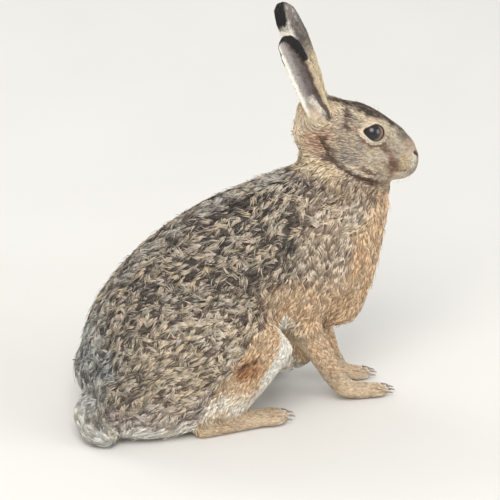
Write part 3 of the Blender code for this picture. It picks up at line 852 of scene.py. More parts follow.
def leg_markings(paint, points, normals, weights):
    toes = points
    points = wobbled(points, 5, 8.0)
    x, z = points[:, 0], points[:, 2]
    regions = ("shank", "forearm", "foot", "paw")
    shank, forearm, foot, paw = (ramp(weights[region], 0.25, 0.6) for region in regions)
    paint(shank, "leg", 0.22)
    paint(shank * ramp(z, 54, 34), "white", 0.4, "foot")
    for name, side in SIDES.items():
        ahead = HIND_LEG_AHEAD[name]
        outside = points[:, 1] * side > 0
        paint(blob(points, (-7 + ahead, 77 * side, 74), (17, 16, 13), 0.5), "orange", 0.6)
        # A painted shadow line under the lower edge of the haunch, where its fur overhangs the shank.
        edge = strip(points, (-22 + ahead, 80 * side, 80), (4 + ahead, 76 * side, 84), 2.6, 0.6)
        paint(edge * outside, "shade", 0.5)
        shin = ramp(x - ahead - 4 - 0.58 * (z - 48), -4, 2) * outside * ramp(z, 34, 52)
        paint(shin * shank, "white", 0.04)
    paint(forearm, "leg", 0.24)
    paint(forearm * ramp(normals[:, 0], -0.1, -0.6), "foot", 0.3)
    paint(foot, "foot", 0.3)
    paint(paw, "foot", 0.3)
    # Painted shade in the grooves between the toes.
    for line in TOE_LINES:
        far, along = from_above(toes, *line)
        paint(ramp(far, 2.0, 0.7) * (1 - 0.6 * along) * ramp(toes[:, 2], 24, 18), "toe_gap", 0.5)
    tail = ramp(weights["tail"], 0.3, 0.6)
    # The tail's white, painted greyer than the belly's: painted shade.
    paint(tail, "tail", 0.3)
    black = ramp(x + 0.3 * z, -150, -138) + 0.6 * ramp(normals[:, 2], 0.8, 0.95)
    paint(tail * np.clip(black, 0, 1), "tail_black", 0.5)


# The face's strokes, painted in this order on both sides: a line's corners in the head's axes, the
# stroke's radius, its colour, the share of dark and the dark colour where it isn't the colour's own.
STROKES = [
    ([(-12, 17, 30), (-4, 21, 26), (0, 25, 19)], 4.2, "cream", 0.3),
    ([(-8, 9, 35.7), (2, 16.4, 32.9), (15, 21, 29.7)], 2.9, "temple", 0.7),
    ([(10, 21, 29), (7.5, 23.5, 25.5), (9, 26, 19.5), (14, 27, 17)], 2.6, "temple", 0.5),
    ([(0, 9, 37.6), (12, 16.9, 34.8), (22, 19, 34), (31, 21, 32)], 3.0, "stripe", 0.15),
    ([(27, 18, 35), (40, 15.5, 36.6), (56, 13, 36)], 4.3, "cream", 0.12),
    ([(20, 26, 20), (29, 25, 23)], 3.4, "pink_brown", 0.4),
    ([(31, 27.5, 14), (49, 27, 8.5)], 2.6, "pink_brown", 0.4),
    ([(27, 29, 10), (36, 28.5, 5)], 3.4, "grey", 0.3),
    ([(62, 16, 31), (77, 15, 25), (85, 15, 20)], 5.0, "stripe", 0.3, "cream_dark"),
    ([(80, 8, 31), (92, 5, 26)], 6.5, "nose", 0.4),
    ([(90, 12, 23), (98, 9, 21)], 4.4, "snout", 0.3, "pink_brown"),
    ([(57, 24, 16), (64, 22.5, 11), (73, 21, 6.5), (80, 20, 1.5)], 4.0, "brown", 0.5),
    ([(52, 26, -3), (68, 22.5, -2)], 9.0, "pale", 0.35),
    ([(58, 25, -12), (70, 21, -12)], 6.0, "pale", 0.4),
    ([(24, 28, -10), (34, 29, -14)], 7.0, "grey", 0.45),
    ([(93, 17, 9), (95, 17, 1), (97, 17, -7)], 2.7, "muzzle", 0.5),
    ([(104, 13, 12), (108, 13, 4)], 3.6, "lips", 0.3, "cream_dark"),
    ([(84, 19, -2), (89, 18, -8), (92, 16.5, -14)], 5.2, "brown", 0.45),
    ([(30, 29, -19), (48, 28, -23), (64, 26, -25)], 3.0, "cream", 0.3),
    ([(50, 28, -18), (73, 22.5, -22)], 1.9, "slash", 0.5),
]
STROKE_SOFT = 0.55


def head_markings(marks, points, normals, weights):
    local = to_head(points)
    q = folded(to_head(wobbled(points, 2.6, 4.5)))
    x, _, z = q.T
    head = ramp(weights["head"], 0.3, 0.6)
    nape = np.clip(head + ramp(weights["ear"], 0.1, 0.4) * ramp(z, 60, 40), 0, 1)
    neck = ramp(weights["neck"], 0.3, 0.6)
    around = np.clip(nape + neck, 0, 1)

    def paint(mask, colour, share, dark=None, where=head):
        marks.paint(np.clip(mask * where, 0, 1), colour, share, dark)

    paint(1, "neck", 0.42, where=neck)
    paint(ramp(normals[:, 0], 0.0, -0.5), "nape_cream", 0.45, where=neck)
    paint(ramp(normals[:, 0], 0.35, 0.8), "buff", 0.3, where=neck)
    paint(1, "cheek", 0.36)
    paint(ramp(x, 8, -8), "nape_cream", 0.3, where=nape)
    paint(blob(q, (-13, 25, -9), (17, 16, 20), 0.5), "rufous", 0.42, where=around)
    # Painted shadow in the crease behind the jaw, where the head overlaps the neck.
    paint(blob(q, (7, 24, -24), (6, 8, 6), 0.5), "crease", 0.5, "temple", around)
    paint(ramp(x, 66, 80) * ramp(z, 20, 26), "nose", 0.45)
    paint(blob(q, (98, 16, 3), (10, 10, 12), 0.6), "pale", 0.35, "muzzle_dark")
    for corners, radius, *colour in STROKES:
        paint(stroke(q, corners, radius, STROKE_SOFT), *colour)
    paint(ramp(x, 88, 96) * ramp(z, -8, -12), "cream", 0.25)
    paint(ramp(z, -24, -30) * ramp(x, 40, 60), "throat", 0.4)
    for eye in EYES.values():
        open_at = eye.opening(local)
        along, up = (local - eye.centre) @ eye.along, (local - eye.centre) @ eye.up
        paint(ramp(np.abs(open_at - 1.78), 0.14, 0.04) * (up < -3), "temple", 0.9, "pink_brown_dark")
        paint(ramp(open_at, 1.72, 1.56), "cream", 0.12)
        low = ramp(up, 3, -2) * ramp(along, -13, -8)
        paint(ramp(open_at, 1.5, 1.36) * low, "lips", 0.3, "cream")
        paint(ramp(open_at, 1.12, 1.05), "lid", 0)
    both = folded(local)
    # The nostril's slot is painted dark: painted shade inside the opening.
    far, _ = from_line(both + (1.0, 1.0, 0), *NOSTRIL)
    paint(ramp(far, 2.9, 1.7), "nostril", 0)
    cleft = ramp(both[:, 1], 1.5, 0.5) * ramp(both[:, 2], -7, -4) * ramp(both[:, 2], 14, 11)
    paint(cleft * ramp(both[:, 0], 98, 104), "slash", 0)
    for a, b in zip(MOUTH, MOUTH[1:]):
        paint(strip(q + (0.6, 0.6, 0), a, b, 1.3, 0.7), "brown", 0.5, "brown")
    # Painted shadow along the jaw's crease, where the head overlaps the neck.
    paint(stroke(q, JAW_CREASE, 3.9, 0.5) * ramp(x, 98, 70), "crease", 0.5, where=around)


# Half the width of the crown's dark band along the head.
CROWN_STATIONS = [-26, 0, 14, 28, 36, 50, 62, 75, 90]
CROWN_EDGE = [7.5, 6.5, 7.5, 12, 11.5, 9.5, 8, 6, 4]


def crown_markings(paint, points, weights):
    """The dark band over the top of the head, painted over the ears' feet too."""
    x, y, z = to_head(wobbled(points, 5, 5.0)).T
    edge = np.interp(x, CROWN_STATIONS, CROWN_EDGE)
    band = ramp(np.abs(y), edge + 3.8, edge - 3.4) * ramp(x, 92, 62) * ramp(x, -24, -8)
    band = band * ramp(z, 25, 31) * ramp(z, 52, 44) * ramp(weights["head"] + weights["ear"], 0.3, 0.6)
    paint(band, "crown", 0.6)


# The ears' marks, painted in this order: the face of the ear, the colour, the share of dark, the dark
# colour where it isn't the colour's own, and where each measure of the ear starts and ends the mark.
EAR_MARKS = [
    ("back", "ear_back", 0.42, None, {}),
    ("back", "white", 0.3, None, {"across": (0.3, -0.1)}),
    ("back", "ear_lilac", 0.8, "ear_back", {"along": (0.7, 0.8), "across": (-0.2, 0.3)}),
    ("back", "ear_buff", 0.35, None, {"across": (0.3, 0.7), "along": (0.6, 0.44)}),
    ("back", "nape_cream", 0.3, None, {"along": (0.36, 0.18)}),
    # The hollow's own colour, darkened as painted shade in the scoop.
    ("hollow", "ear_hollow", 0.42, None, {}),
    # A dark band behind the front fringe: painted shade in the scoop's deep fold.
    ("hollow", "ear_notch", 0.45, None, {"across": (0.28, 0.46)}),
    ("hollow", "ear_lilac", 0.45, None, {"across": (0.12, -0.5)}),
    ("hollow", "white", 0.3, None, {"across": (-0.46, -0.74)}),
    ("hollow", "nape_cream", 0.3, "cream_dark", {"across": (-0.3, -0.56), "along": (0.32, 0.2)}),
    ("hollow", "ear_buff", 0.3, None, {"across": (0.52, 0.66)}),
    ("hollow", "white", 0.3, "pale_dark", {"from_tuft": (0.34, 0.2), "along": (0.37, 0.28)}),
    # A dark line along the lower opening: painted shade.
    ("hollow", "ear_notch", 0.4, "ear_hollow", {"from_streak": (0.2, 0.1), "along": (0.38, 0.3)}),
    ("hollow", "cream", 0.35, None, {"along": (0.3, 0.16), "across": (0.3, 0.0)}),
    # The dark notch at the ear's foot: painted shade in the opening.
    ("hollow", "ear_notch", 0.5, None, {"along": (0.2, 0.12), "across": (0.1, 0.4)}),
]
# The shares across the ear, and how far up its black tip begins there on either face.
BLACK_ACROSS = [-0.5, -0.1, 0.05, 0.15, 0.35, 0.5, 0.7, 0.84, 0.96]
BLACK_INNER = [0.87, 0.83, 0.79, 0.73, 0.65, 0.61, 0.59, 0.62, 0.75]
BLACK_OUTER = [0.68, 0.70, 0.77, 0.85, 0.98, 1.06, 1.10, 1.10, 1.10]


def ear_markings(paint, weights, along, across, inner):
    ear = ramp(weights["ear"], 0.25, 0.6)
    lean = across + 2.6 * (along - 0.3)
    measures = {"along": along, "across": across,
                "from_tuft": np.abs(lean - 0.05), "from_streak": np.abs(lean - 0.46)}
    for face, colour, share, dark, edges in EAR_MARKS:
        mask = ear * (inner if face == "hollow" else 1 - inner)
        for name, (start, end) in edges.items():
            mask = mask * ramp(measures[name], start, end)
        paint(mask, colour, share, dark)
    begins = np.where(inner > 0.5, np.interp(across, BLACK_ACROSS, BLACK_INNER),
                      np.interp(across, BLACK_ACROSS, BLACK_OUTER))
    paint(ear * ramp(along - begins, -0.025, 0.035), "ear_black", 0.5)


def make_markings(points, normals, weights, ear):
    marks = Markings(len(points))
    marks.paint(np.ones(len(points)), "back", 0.67)
    body_markings(marks.paint, points, normals)
    leg_markings(marks.paint, points, normals, weights)
    head_markings(marks, points, normals, weights)
    along, across, inner, _ = ear
    wander = wobbled(points, 1, 6.0) - points
    across = across + 0.12 * wander[:, 2]
    ear_markings(marks.paint, weights, along + 0.025 * wander[:, 0], across, inner)
    crown_markings(marks.paint, points, weights)
    return marks


# ---------------------------------------------------------------- materials

def new_material(name, **finish):
    """A material, its node tree and its shader, which takes the values of finish."""
    made = bpy.data.materials.new(name)
    made.use_nodes = True
    shader = made.node_tree.nodes["Principled BSDF"]
    set_inputs(shader, **finish)
    return made, made.node_tree, shader


def set_inputs(target, **values):
    for name, value in values.items():
        target.inputs[name.replace("_", " ")].default_value = value


def add(tree, kind, **settings):
    made = tree.nodes.new(kind)
    for name, value in settings.items():
        setattr(made, name, value)
    return made


def attribute(tree, name, output="Vector"):
    return add(tree, "ShaderNodeAttribute", attribute_name=name).outputs[output]


def part_of(tree, vector, axis):
    split = add(tree, "ShaderNodeSeparateXYZ")
    tree.links.new(vector, split.inputs[0])
    return split.outputs[axis]


def grain(tree, source, stretch, detail, roughness=0.5):
    """Noise over a vector, with so many cells to its unit along each axis."""
    scaled = add(tree, "ShaderNodeVectorMath", operation="MULTIPLY")
    scaled.inputs[1].default_value = stretch
    tree.links.new(source, scaled.inputs[0])
    made = add(tree, "ShaderNodeTexNoise")
    set_inputs(made, Scale=1.0, Detail=detail, Roughness=roughness)
    tree.links.new(scaled.outputs["Vector"], made.inputs["Vector"])
    return made.outputs["Fac"]


def shaded(tree, shader, colour, fac, low, high):
    """The base colour: colour times a shade from low to high that follows the grain."""
    shade = add(tree, "ShaderNodeMapRange")
    for key, value in (("From Min", 0.3), ("From Max", 0.7), ("To Min", low), ("To Max", high)):
        shade.inputs[key].default_value = value
    tree.links.new(fac, shade.inputs["Value"])
    made = add(tree, "ShaderNodeVectorMath", operation="SCALE")
    tree.links.new(colour, made.inputs[0])
    tree.links.new(shade.outputs["Result"], made.inputs["Scale"])
    tree.links.new(made.outputs["Vector"], shader.inputs["Base Color"])


def stops(tree, source, rows):
    """Display colours at places along a value."""
    made = add(tree, "ShaderNodeValToRGB")
    elements = made.color_ramp.elements
    while len(elements) < len(rows):
        elements.new(0.5)
    for element, (place, colour) in zip(elements, rows):
        element.position = place
        element.color = (*linear(colour), 1)
    tree.links.new(source, made.inputs["Fac"])
    return made.outputs["Color"]


def bump(tree, shader, height, distance, strength):
    made = add(tree, "ShaderNodeBump")
    set_inputs(made, Distance=distance, Strength=strength)
    tree.links.new(height, made.inputs["Height"])
    tree.links.new(made.outputs["Normal"], shader.inputs["Normal"])


def on_object(tree):
    return add(tree, "ShaderNodeTexCoord").outputs["Object"]


def fur_material():
    """Locks: the coat's own colour with fine hairs drawn along each lock."""
    made, tree, shader = new_material(
        "hare_coat", Roughness=0.62, Specular_IOR_Level=0.24, Sheen_Weight=0.16, Sheen_Roughness=0.45)
    hairs = grain(tree, attribute(tree, "lock"), (3.2, 0.9, 40.0), 2.0, 0.6)
    shaded(tree, shader, attribute(tree, "fur", "Color"), hairs, 0.8, 1.2)
    bump(tree, shader, hairs, 0.0004, 0.6)
    return made


def skin_material():
    """Short flat fur as bump and speckle over the markings."""
    made, tree, shader = new_material("hare_skin", Roughness=0.7, Specular_IOR_Level=0.25, Sheen_Weight=0.2)
    hairs = grain(tree, on_object(tree), (900.0, 900.0, 900.0), 3.0, 0.65)
    shaded(tree, shader, attribute(tree, "fur", "Color"), hairs, 0.78, 1.2)
    bump(tree, shader, hairs, 0.0005, 0.7)
    return made


def eye_material():
    """A dark pupil in a fibrous brown iris."""
    made, tree, shader = new_material(
        "hare_eye", Roughness=0.3, Coat_Weight=0.6, Coat_Roughness=0.14, IOR=1.38)
    measure = attribute(tree, "iris")
    rings = stops(tree, part_of(tree, measure, "X"), [
        (0.0, (7, 5, 6)), (0.55, (10, 7, 8)), (0.6, (44, 29, 23)), (0.67, (98, 69, 48)),
        (0.82, (122, 89, 61)), (0.93, (92, 66, 48)), (0.98, (38, 26, 22)), (1.0, (16, 11, 11)),
    ])
    fibres = grain(tree, measure, (1.5, 14.0, 14.0), 3.0, 0.6)
    shaded(tree, shader, rings, fibres, 0.6, 1.4)
    return made


def lid_material():
    made, tree, shader = new_material("lid_skin", Roughness=0.42, Specular_IOR_Level=0.4)
    folds = grain(tree, on_object(tree), (700.0, 700.0, 700.0), 2.0)
    tone = add(tree, "ShaderNodeRGB").outputs[0]
    tone.default_value = (*COLOURS["lid"], 1)
    shaded(tree, shader, tone, folds, 0.7, 1.3)
    bump(tree, shader, folds, 0.0002, 0.5)
    return made


def whisker_material():
    """Dark at the root and pale at the tip."""
    made, tree, shader = new_material("whisker", Roughness=0.4, Specular_IOR_Level=0.5)
    along = part_of(tree, attribute(tree, "lock"), "Y")
    tone = stops(tree, along, [(0, (70, 60, 54)), (1, (226, 220, 208))])
    tree.links.new(tone, shader.inputs["Base Color"])
    return made


def claw_material():
    made, tree, shader = new_material("claw_horn", Roughness=0.36, Specular_IOR_Level=0.5)
    streaks = grain(tree, on_object(tree), (120.0, 1500.0, 900.0), 3.0)
    tone = stops(tree, streaks, [(0, (76, 62, 52)), (1, (158, 138, 114))])
    tree.links.new(tone, shader.inputs["Base Color"])
    bump(tree, shader, streaks, 0.0001, 0.4)
    return made


def floor_material():
    made, tree, shader = new_material("pale_floor", Roughness=0.9)
    speckle = add(tree, "ShaderNodeTexNoise")
    set_inputs(speckle, Scale=60.0, Detail=4.0)
    tone = stops(tree, speckle.outputs["Fac"], [(0, (204, 202, 196)), (1, (211, 209, 204))])
    tree.links.new(tone, shader.inputs["Base Color"])
    return made


# ---------------------------------------------------------------- the coat

# Each coat piece: its regions, the side it is on (0 for both), how many locks and their clumps' spacing.
COAT_PIECES = {
    "coat_head": (("head",), 0, 19500, 3.6),
    "coat_ears": (("ear",), 0, 11000, 3.6),
    "coat_neck": (("neck", "arm"), 0, 13000, 4.6),
    "coat_back_left": (("trunk",), 1, 19500, 4.7),
    "coat_back_right": (("trunk",), -1, 19500, 4.7),
    "coat_haunch_left": (("thigh",), 1, 15500, 4.7),
    "coat_haunch_right": (("thigh",), -1, 15500, 4.7),
    "coat_forelegs": (("forearm", "paw"), 0, 12500, 4.2),
    "coat_hind_legs": (("shank", "foot"), 0, 14000, 4.4),
    "coat_tail": (("tail",), 0, 5000, 6.0),
}
SMOOTH_REGIONS = ("head", "ear", "forearm", "paw", "shank", "foot")
DRIFT_LENGTH = 22.0  # the coat's tone drifts over this distance
WAVE_LENGTH = 13.0
CURL = 0.7  # how far a clump's tip turns off its way, as a share of the waviness
ASTRAY = 0.014  # share of locks that stand out from the rest
HUE_SHIFT = np.array((0.05, 0.0, -0.08))  # a warm lock's light against a plain one's
PATCH = 0.003  # width of a lock's patch on the OFBake map


def shelved(sizes, scale):
    """Corners of rectangles laid on shelves across a unit square, or None where they don't fit."""
    corners = np.zeros((len(sizes), 2))
    x = y = tallest = 0.0
    for k in np.argsort(-sizes[:, 1]):
        wide, tall = sizes[k] * scale + 3 * PATCH
        if x + wide > 1:
            x, y, tallest = 0.0, y + tallest, 0.0
        corners[k] = x, y
        x, tallest = x + wide, max(tallest, tall)
        if x > 1 or y + tallest > 1:
            return None
    return corners


def unwrapped(points, normals, inner):
    """Each point's place on a flat plan of its piece: a chart for each way that the skin faces."""
    facing = np.abs(normals).argmax(1)
    ahead = np.take_along_axis(normals, facing[:, None], 1)[:, 0] > 0
    chart = facing + 3 * ahead + 6 * (points[:, 1] > 0) + 12 * inner
    _, chart = np.unique(chart, return_inverse=True)
    flat = np.where(facing[:, None] == 0, points[:, 1:], points[:, [0, 2]])
    flat = np.where(facing[:, None] == 2, points[:, :2], flat)
    count = chart.max() + 1
    low = np.array([flat[chart == k].min(0) for k in range(count)])
    sizes = np.array([flat[chart == k].max(0) for k in range(count)]) - low
    for scale in np.geomspace(1 / sizes.max(), 0.05 / sizes.max(), 80):
        corners = shelved(sizes, scale)
        if corners is not None:
            break
    return corners[chart] + 1.5 * PATCH + (flat - low[chart]) * scale


class Hide:
    """The skin with its fields, ready for locks to be rooted in it."""

    def __init__(self, surface, weights, normals, flow, sizes, density, marks, inner):
        self.surface = surface
        self.inner = inner
        smooth = sum(weights[region] for region in SMOOTH_REGIONS)
        buff = np.maximum(low_front(surface.points), chest(surface.points, normals))
        self.soft = np.maximum(smooth, 0.8 * buff)
        self.normals = normals
        self.flow = flow
        self.sizes = sizes
        self.density = density
        self.marks = marks
        self.tree = surface.tree()
        order = list(weights)
        stacked = np.stack([weights[name] for name in order], 1)
        self.dominant = np.array(order)[stacked[surface.triangles].mean(1).argmax(1)]
        self.middles = surface.points[surface.triangles].mean(1)
        self.area = np.linalg.norm(surface.face_vectors(), axis=1) / 2

    def at(self, field, face, share):
        """A vertex field at points of faces, given by their shares of the corners."""
        corners = field[self.surface.triangles[face]]
        if corners.ndim == 2:
            return (corners * share).sum(1)
        return (corners * share[:, :, None]).sum(1)

    def roots(self, regions, side, count, rng):
        """Faces and corner shares of count roots, spread evenly by the coat's density."""
        chance = self.area * self.density[self.surface.triangles].mean(1)
        chance = chance * np.isin(self.dominant, regions)
        if side:
            chance = chance * (self.middles[:, 1] * side > 0)
        total = np.cumsum(chance)
        marks = (np.arange(count) + rng.random(count)) / count * total[-1]
        face = np.minimum(np.searchsorted(total, marks), len(total) - 1)
        a, b = rng.random((2, count))
        turn = a + b > 1
        a[turn], b[turn] = 1 - a[turn], 1 - b[turn]
        return face, np.stack([1 - a - b, a, b], 1)

    def slide(self, points, way, length):
        """Walks from points along the skin. Returns the new points and the faces that they lie on."""
        wanted = (points + way * length[:, None]).tolist()
        found = [self.tree.find_nearest(p) for p in wanted]
        return np.array([f[0] for f in found]), np.array([f[2] for f in found])

    def mean_at(self, field, face):
        """A vertex field's mean over faces."""
        return field[self.surface.triangles[face]].mean(1)


def turned(way, normals, angle):
    """Vectors along the skin, turned about its normals."""
    c, s = np.cos(angle)[:, None], np.sin(angle)[:, None]
    return unit(way * c + np.cross(normals, way) * s)


def wave_noise(points, seed, length=WAVE_LENGTH):
    """Smooth noise from -1 to 1 that treats the locks of a neighbourhood alike."""
    scaled = points / length + seed
    return np.array([noise.noise(p) for p in scaled.tolist()])


def clumped(points, spacing, rng):
    """The place and the number of the clump centre that each root belongs to."""
    order = rng.permutation(len(points))
    cell = np.floor(points / spacing).astype(np.int64)
    keys = (cell[:, 0] * 4096 + cell[:, 1]) * 4096 + cell[:, 2]
    _, first = np.unique(keys[order], return_index=True)
    centres = order[first]
    tree = kdtree.KDTree(len(centres))
    for k, centre in enumerate(points[centres].tolist()):
        tree.insert(centre, k)
    tree.balance()
    own = np.array([tree.find(p)[1] for p in points.tolist()])
    return points[centres][own], own, len(centres)


def ranked(values):
    """The place of each value among all of them, from 0 to 1."""
    rank = np.empty(len(values))
    rank[values.argsort()] = (np.arange(len(values)) + 0.5) / len(values)
    return rank


def lock_tones(share, own, centres, off, drift, rng):
    """How dark each lock is: painted shade at the edges of a clump, and darker where the coat's tone drifts
    down.
    """
    value = 0.56 * rng.random(centres)[own] + 0.1 * rng.random(len(own))
    # A lock far from its clump's middle gets darker: painted shade between the clumps.
    value += 0.2 * (1 - ranked(off)) + 0.14 * ranked(drift)
    return ramp(ranked(value), share + 0.18, share - 0.18)


def lock_colours(marks, darkness, hue, soft, rng):
    """Root, middle and tip colours of each lock, from its markings."""
    light, dark, share = marks
    light = light * (1 + hue[:, None] * HUE_SHIFT)
    tone = light + darkness[:, None] * (dark - light)
    mean = light + share[:, None] * (dark - light)
    soft = soft[:, None]
    bright = 1 + (rng.random(len(light)) - 0.5)[:, None] * (0.24 - 0.15 * soft)
    # The root is darker than the markings: partly the hair's darker base, partly painted shade deep in the
    # coat.
    root = ((0.62 + 0.25 * soft) * mean + (0.22 - 0.12 * soft) * dark) * bright
    middle = (0.72 * tone + 0.28 * mean) * bright
    return root, middle, tone * bright * (1.07 - 0.1 * darkness[:, None])


def lock_mesh(rings, tips, colours):
    """Three-sided tapered locks. rings are (points, across, up, width) rows from root to tip."""
    count = len(tips)
    vertices, shades, places = [], [], []
    for along, (at, across, up, width), colour in rings:
        for over, height in ((-1.0, 0.0), (1.0, 0.0), (0.0, 0.3)):
            vertices.append(at + across * (over * width / 2)[:, None] + up * (height * width)[:, None])
            shades.append(colour)
            places.append(np.tile((over, along + 0.12 * (height > 0), 0.0), (count, 1)))
    vertices.append(tips)
    shades.append(colours[-1])
    places.append(np.tile((0.0, 1.0, 0.0), (count, 1)))
    per_lock = len(vertices)
    faces = [(0, 2, 1)]
    for ring in range(len(rings) - 1):
        for a, b in ((0, 1), (1, 2), (2, 0)):
            low, high = 3 * ring, 3 * ring + 3
            faces += [(low + a, low + b, high + b), (low + a, high + b, high + a)]
    last = per_lock - 1
    faces += [(last - 3 + a, last - 3 + b, last) for a, b in ((0, 1), (1, 2), (2, 0))]
    points = np.stack(vertices, 1).reshape(-1, 3)
    triangles = (np.arange(count)[:, None, None] * per_lock + np.array(faces)).reshape(-1, 3)
    return points, triangles, np.stack(shades, 1).reshape(-1, 3), np.stack(places, 1)


def grow(hide, name, finish, rng):
    """One piece of the coat."""
    regions, side, count, spacing = COAT_PIECES[name]
    face, share = hide.roots(regions, side, count, rng)
    root = hide.at(hide.surface.points, face, share)
    normal = unit(hide.at(hide.normals, face, share))
    flow = unit(hide.at(hide.flow, face, share))
    length, width, depth, wave = (
        hide.at(hide.sizes[key], face, share) for key in ("length", "width", "depth", "wave"))
    centre, own, centres = clumped(root, spacing, rng)
    astray = rng.random(count) < ASTRAY
    length = length * (0.75 + 0.5 * rng.random(count))
    width = width * (0.7 + 0.6 * rng.random(count)) * np.where(astray, 0.7, 1)
    spread = np.radians(wave)
    turn = spread * (1.3 * wave_noise(centre, 3.1) + 0.3 * rng.normal(size=centres)[own])
    turn += np.radians(4.5) * rng.normal(size=count)
    turn += np.radians(24) * astray * rng.normal(size=count)
    way = turned(flow, normal, turn)
    middle, middle_face = hide.slide(root, way, length * 0.45)
    middle_normal = unit(hide.mean_at(hide.normals, middle_face))
    bend = turn + spread * (0.9 * wave_noise(middle, 8.7) + CURL * rng.normal(size=centres)[own])
    middle_flow = along_skin(hide.mean_at(hide.flow, middle_face), middle_normal)
    middle_way = turned(middle_flow, middle_normal, bend)
    tip, tip_face = hide.slide(middle, middle_way, length * 0.55)
    tip_normal = unit(hide.mean_at(hide.normals, tip_face))

    marks = [hide.mean_at(field, tip_face) for field in (hide.marks.light, hide.marks.dark, hide.marks.share)]
    # How far each lock lies from its clump's middle, which lock_tones turns into painted shade at the clump's
    # edge.
    off = np.abs(((root - centre) * np.cross(flow, normal)).sum(1))
    darkness = lock_tones(marks[2], own, centres, off, wave_noise(root, 5.2, DRIFT_LENGTH), rng)
    hue = np.clip(0.1 + 0.5 * rng.normal(size=centres)[own] + wave_noise(centre, 2.4, 19.0), -0.8, 1.3)
    soft = hide.at(hide.soft, face, share)
    colours = lock_colours(marks, darkness, hue, soft, rng)
    layer = rng.random(centres)[own]
    height = depth * (0.36 + 0.14 * rng.random(count) + (0.4 - 0.2 * soft) * layer + 0.08 * (1 - darkness))
    height += 0.5 * depth * astray
    pull = centre - root
    pull = pull - (pull * way).sum(1)[:, None] * way
    pull = pull * (~astray * (1 - 0.5 * soft))[:, None]
    middle_at = middle + middle_normal * (height * 0.74)[:, None] + pull * 0.38
    tip_at = tip + tip_normal * height[:, None] + pull * 0.66
    root_at = root - normal * 0.4
    for points in (root_at, middle_at, tip_at):
        points[:, 2] = np.maximum(points[:, 2], 0.3)
    rings = [
        (0.0, (root_at, unit(np.cross(way, normal)), normal, width * 0.75), colours[0]),
        (0.45, (middle_at, unit(np.cross(middle_way, middle_normal)), middle_normal, width), colours[1]),
    ]
    points, triangles, shades, places = lock_mesh(rings, tip_at, colours)
    made = mesh_object(name, points, triangles)
    patch = unwrapped(root, normal, hide.at(hide.inner, face, share) > 0.5)
    finish_lock_piece(made, shades, places, patch, finish, rng)


def finish_lock_piece(made, shades, places, patch, finish, rng):
    """Colours, hair coordinates and the OFBake map of a coat piece."""
    count, per_lock = places.shape[:2]
    give_colours(made, "fur", shades)
    drawn = places.copy()
    drawn[:, :, 2] = rng.random(count)[:, None]
    give_vectors(made, "lock", drawn.reshape(-1, 3))
    spot = patch[:, None] + (places[:, :, :2] * (0.5, 1) - (0, 0.5)) * PATCH
    flat = np.clip(spot.reshape(-1, 2), 0, 1)
    corners = np.empty(len(made.data.loops), np.int32)
    made.data.loops.foreach_get("vertex_index", corners)
    layer = made.data.uv_layers.new(name="OFBake", do_init=False)
    layer.uv.foreach_set("vector", flat[corners].astype(np.float32).ravel())
    put_on(made, finish)


def coat_density(surface, weights, normals, ear):
    """How many locks stand at a vertex, against the most."""
    local = to_head(surface.points)
    density = np.ones(len(local))
    for eye in EYES.values():
        density *= ramp(eye.opening(local), 1.1, 1.2)
    density *= 1 - 0.7 * ramp(normals[:, 2], -0.5, -0.9) * ramp(surface.points[:, 2], 30, 8)
    mirrored = folded(local)
    far, _ = from_line(mirrored, *NOSTRIL)
    density *= np.where(weights["head"] > 0.5, ramp(far, 1.5, 3.0), 1)
    fine = weights["head"] * np.interp(local[:, 0], HEAD_STATIONS, HEAD_DENSITY)
    density *= fine + (1 - weights["head"])
    inner = weights["ear"] * ear[2]
    return density * (1 - 0.6 * inner)


def coat_sizes(surface, weights, normals, ear):
    """sizes_at, with the small locks of the lids and the fringes of the ears."""
    sizes = sizes_at(surface, weights)
    local = to_head(surface.points)
    for eye in EYES.values():
        close = 0.4 + 0.6 * ramp(eye.opening(local), 1.1, 2.4)
        sizes["length"] = sizes["length"] * close
        sizes["width"] = sizes["width"] * (0.5 + 0.5 * close)
        sizes["depth"] = sizes["depth"] * close
    edge = weights["ear"] * ramp(np.abs(ear[1]), 0.75, 0.95)
    sizes["length"] = sizes["length"] * (1 + 0.7 * edge)
    sizes["length"] = sizes["length"] * (1 - 0.35 * weights["ear"] * ear[2])
    calm = np.maximum(low_front(surface.points), ramp(normals[:, 2], -0.2, -0.5))
    calm = np.maximum(calm, chest(surface.points, normals))
    sizes["wave"] = sizes["wave"] * (1 - 0.65 * calm)
    return sizes


# ---------------------------------------------------------------- eyes, lids, whiskers and claws

EYE_ROWS, EYE_COLUMNS = 40, 64
CORNEA_RISE = 0.55
EYE_BACK_DROP = 4.0  # how far the hidden back of the eyeball is drawn in
IRIS_SIZE = 1.2
LID_RIM = 0.62  # half the thickness of a lid's bare rim
RIM_STANDS = 0.55  # how far the rim's middle stands off the eyeball
WHISKER_RADIUS = 0.24
CLAW_ROUNDING = 2


def with_single_poles(triangles, columns, count):
    """Joins a grid's first and last rows into one point each. Gives the points kept and the triangles."""
    joined_to = np.arange(count)
    joined_to[:columns] = 0
    joined_to[-columns:] = count - 1
    triangles = joined_to[triangles]
    a, b, c = triangles.T
    triangles = triangles[(a != b) & (b != c) & (c != a)]
    used, flat = np.unique(triangles, return_inverse=True)
    return used, flat.reshape(-1, 3)


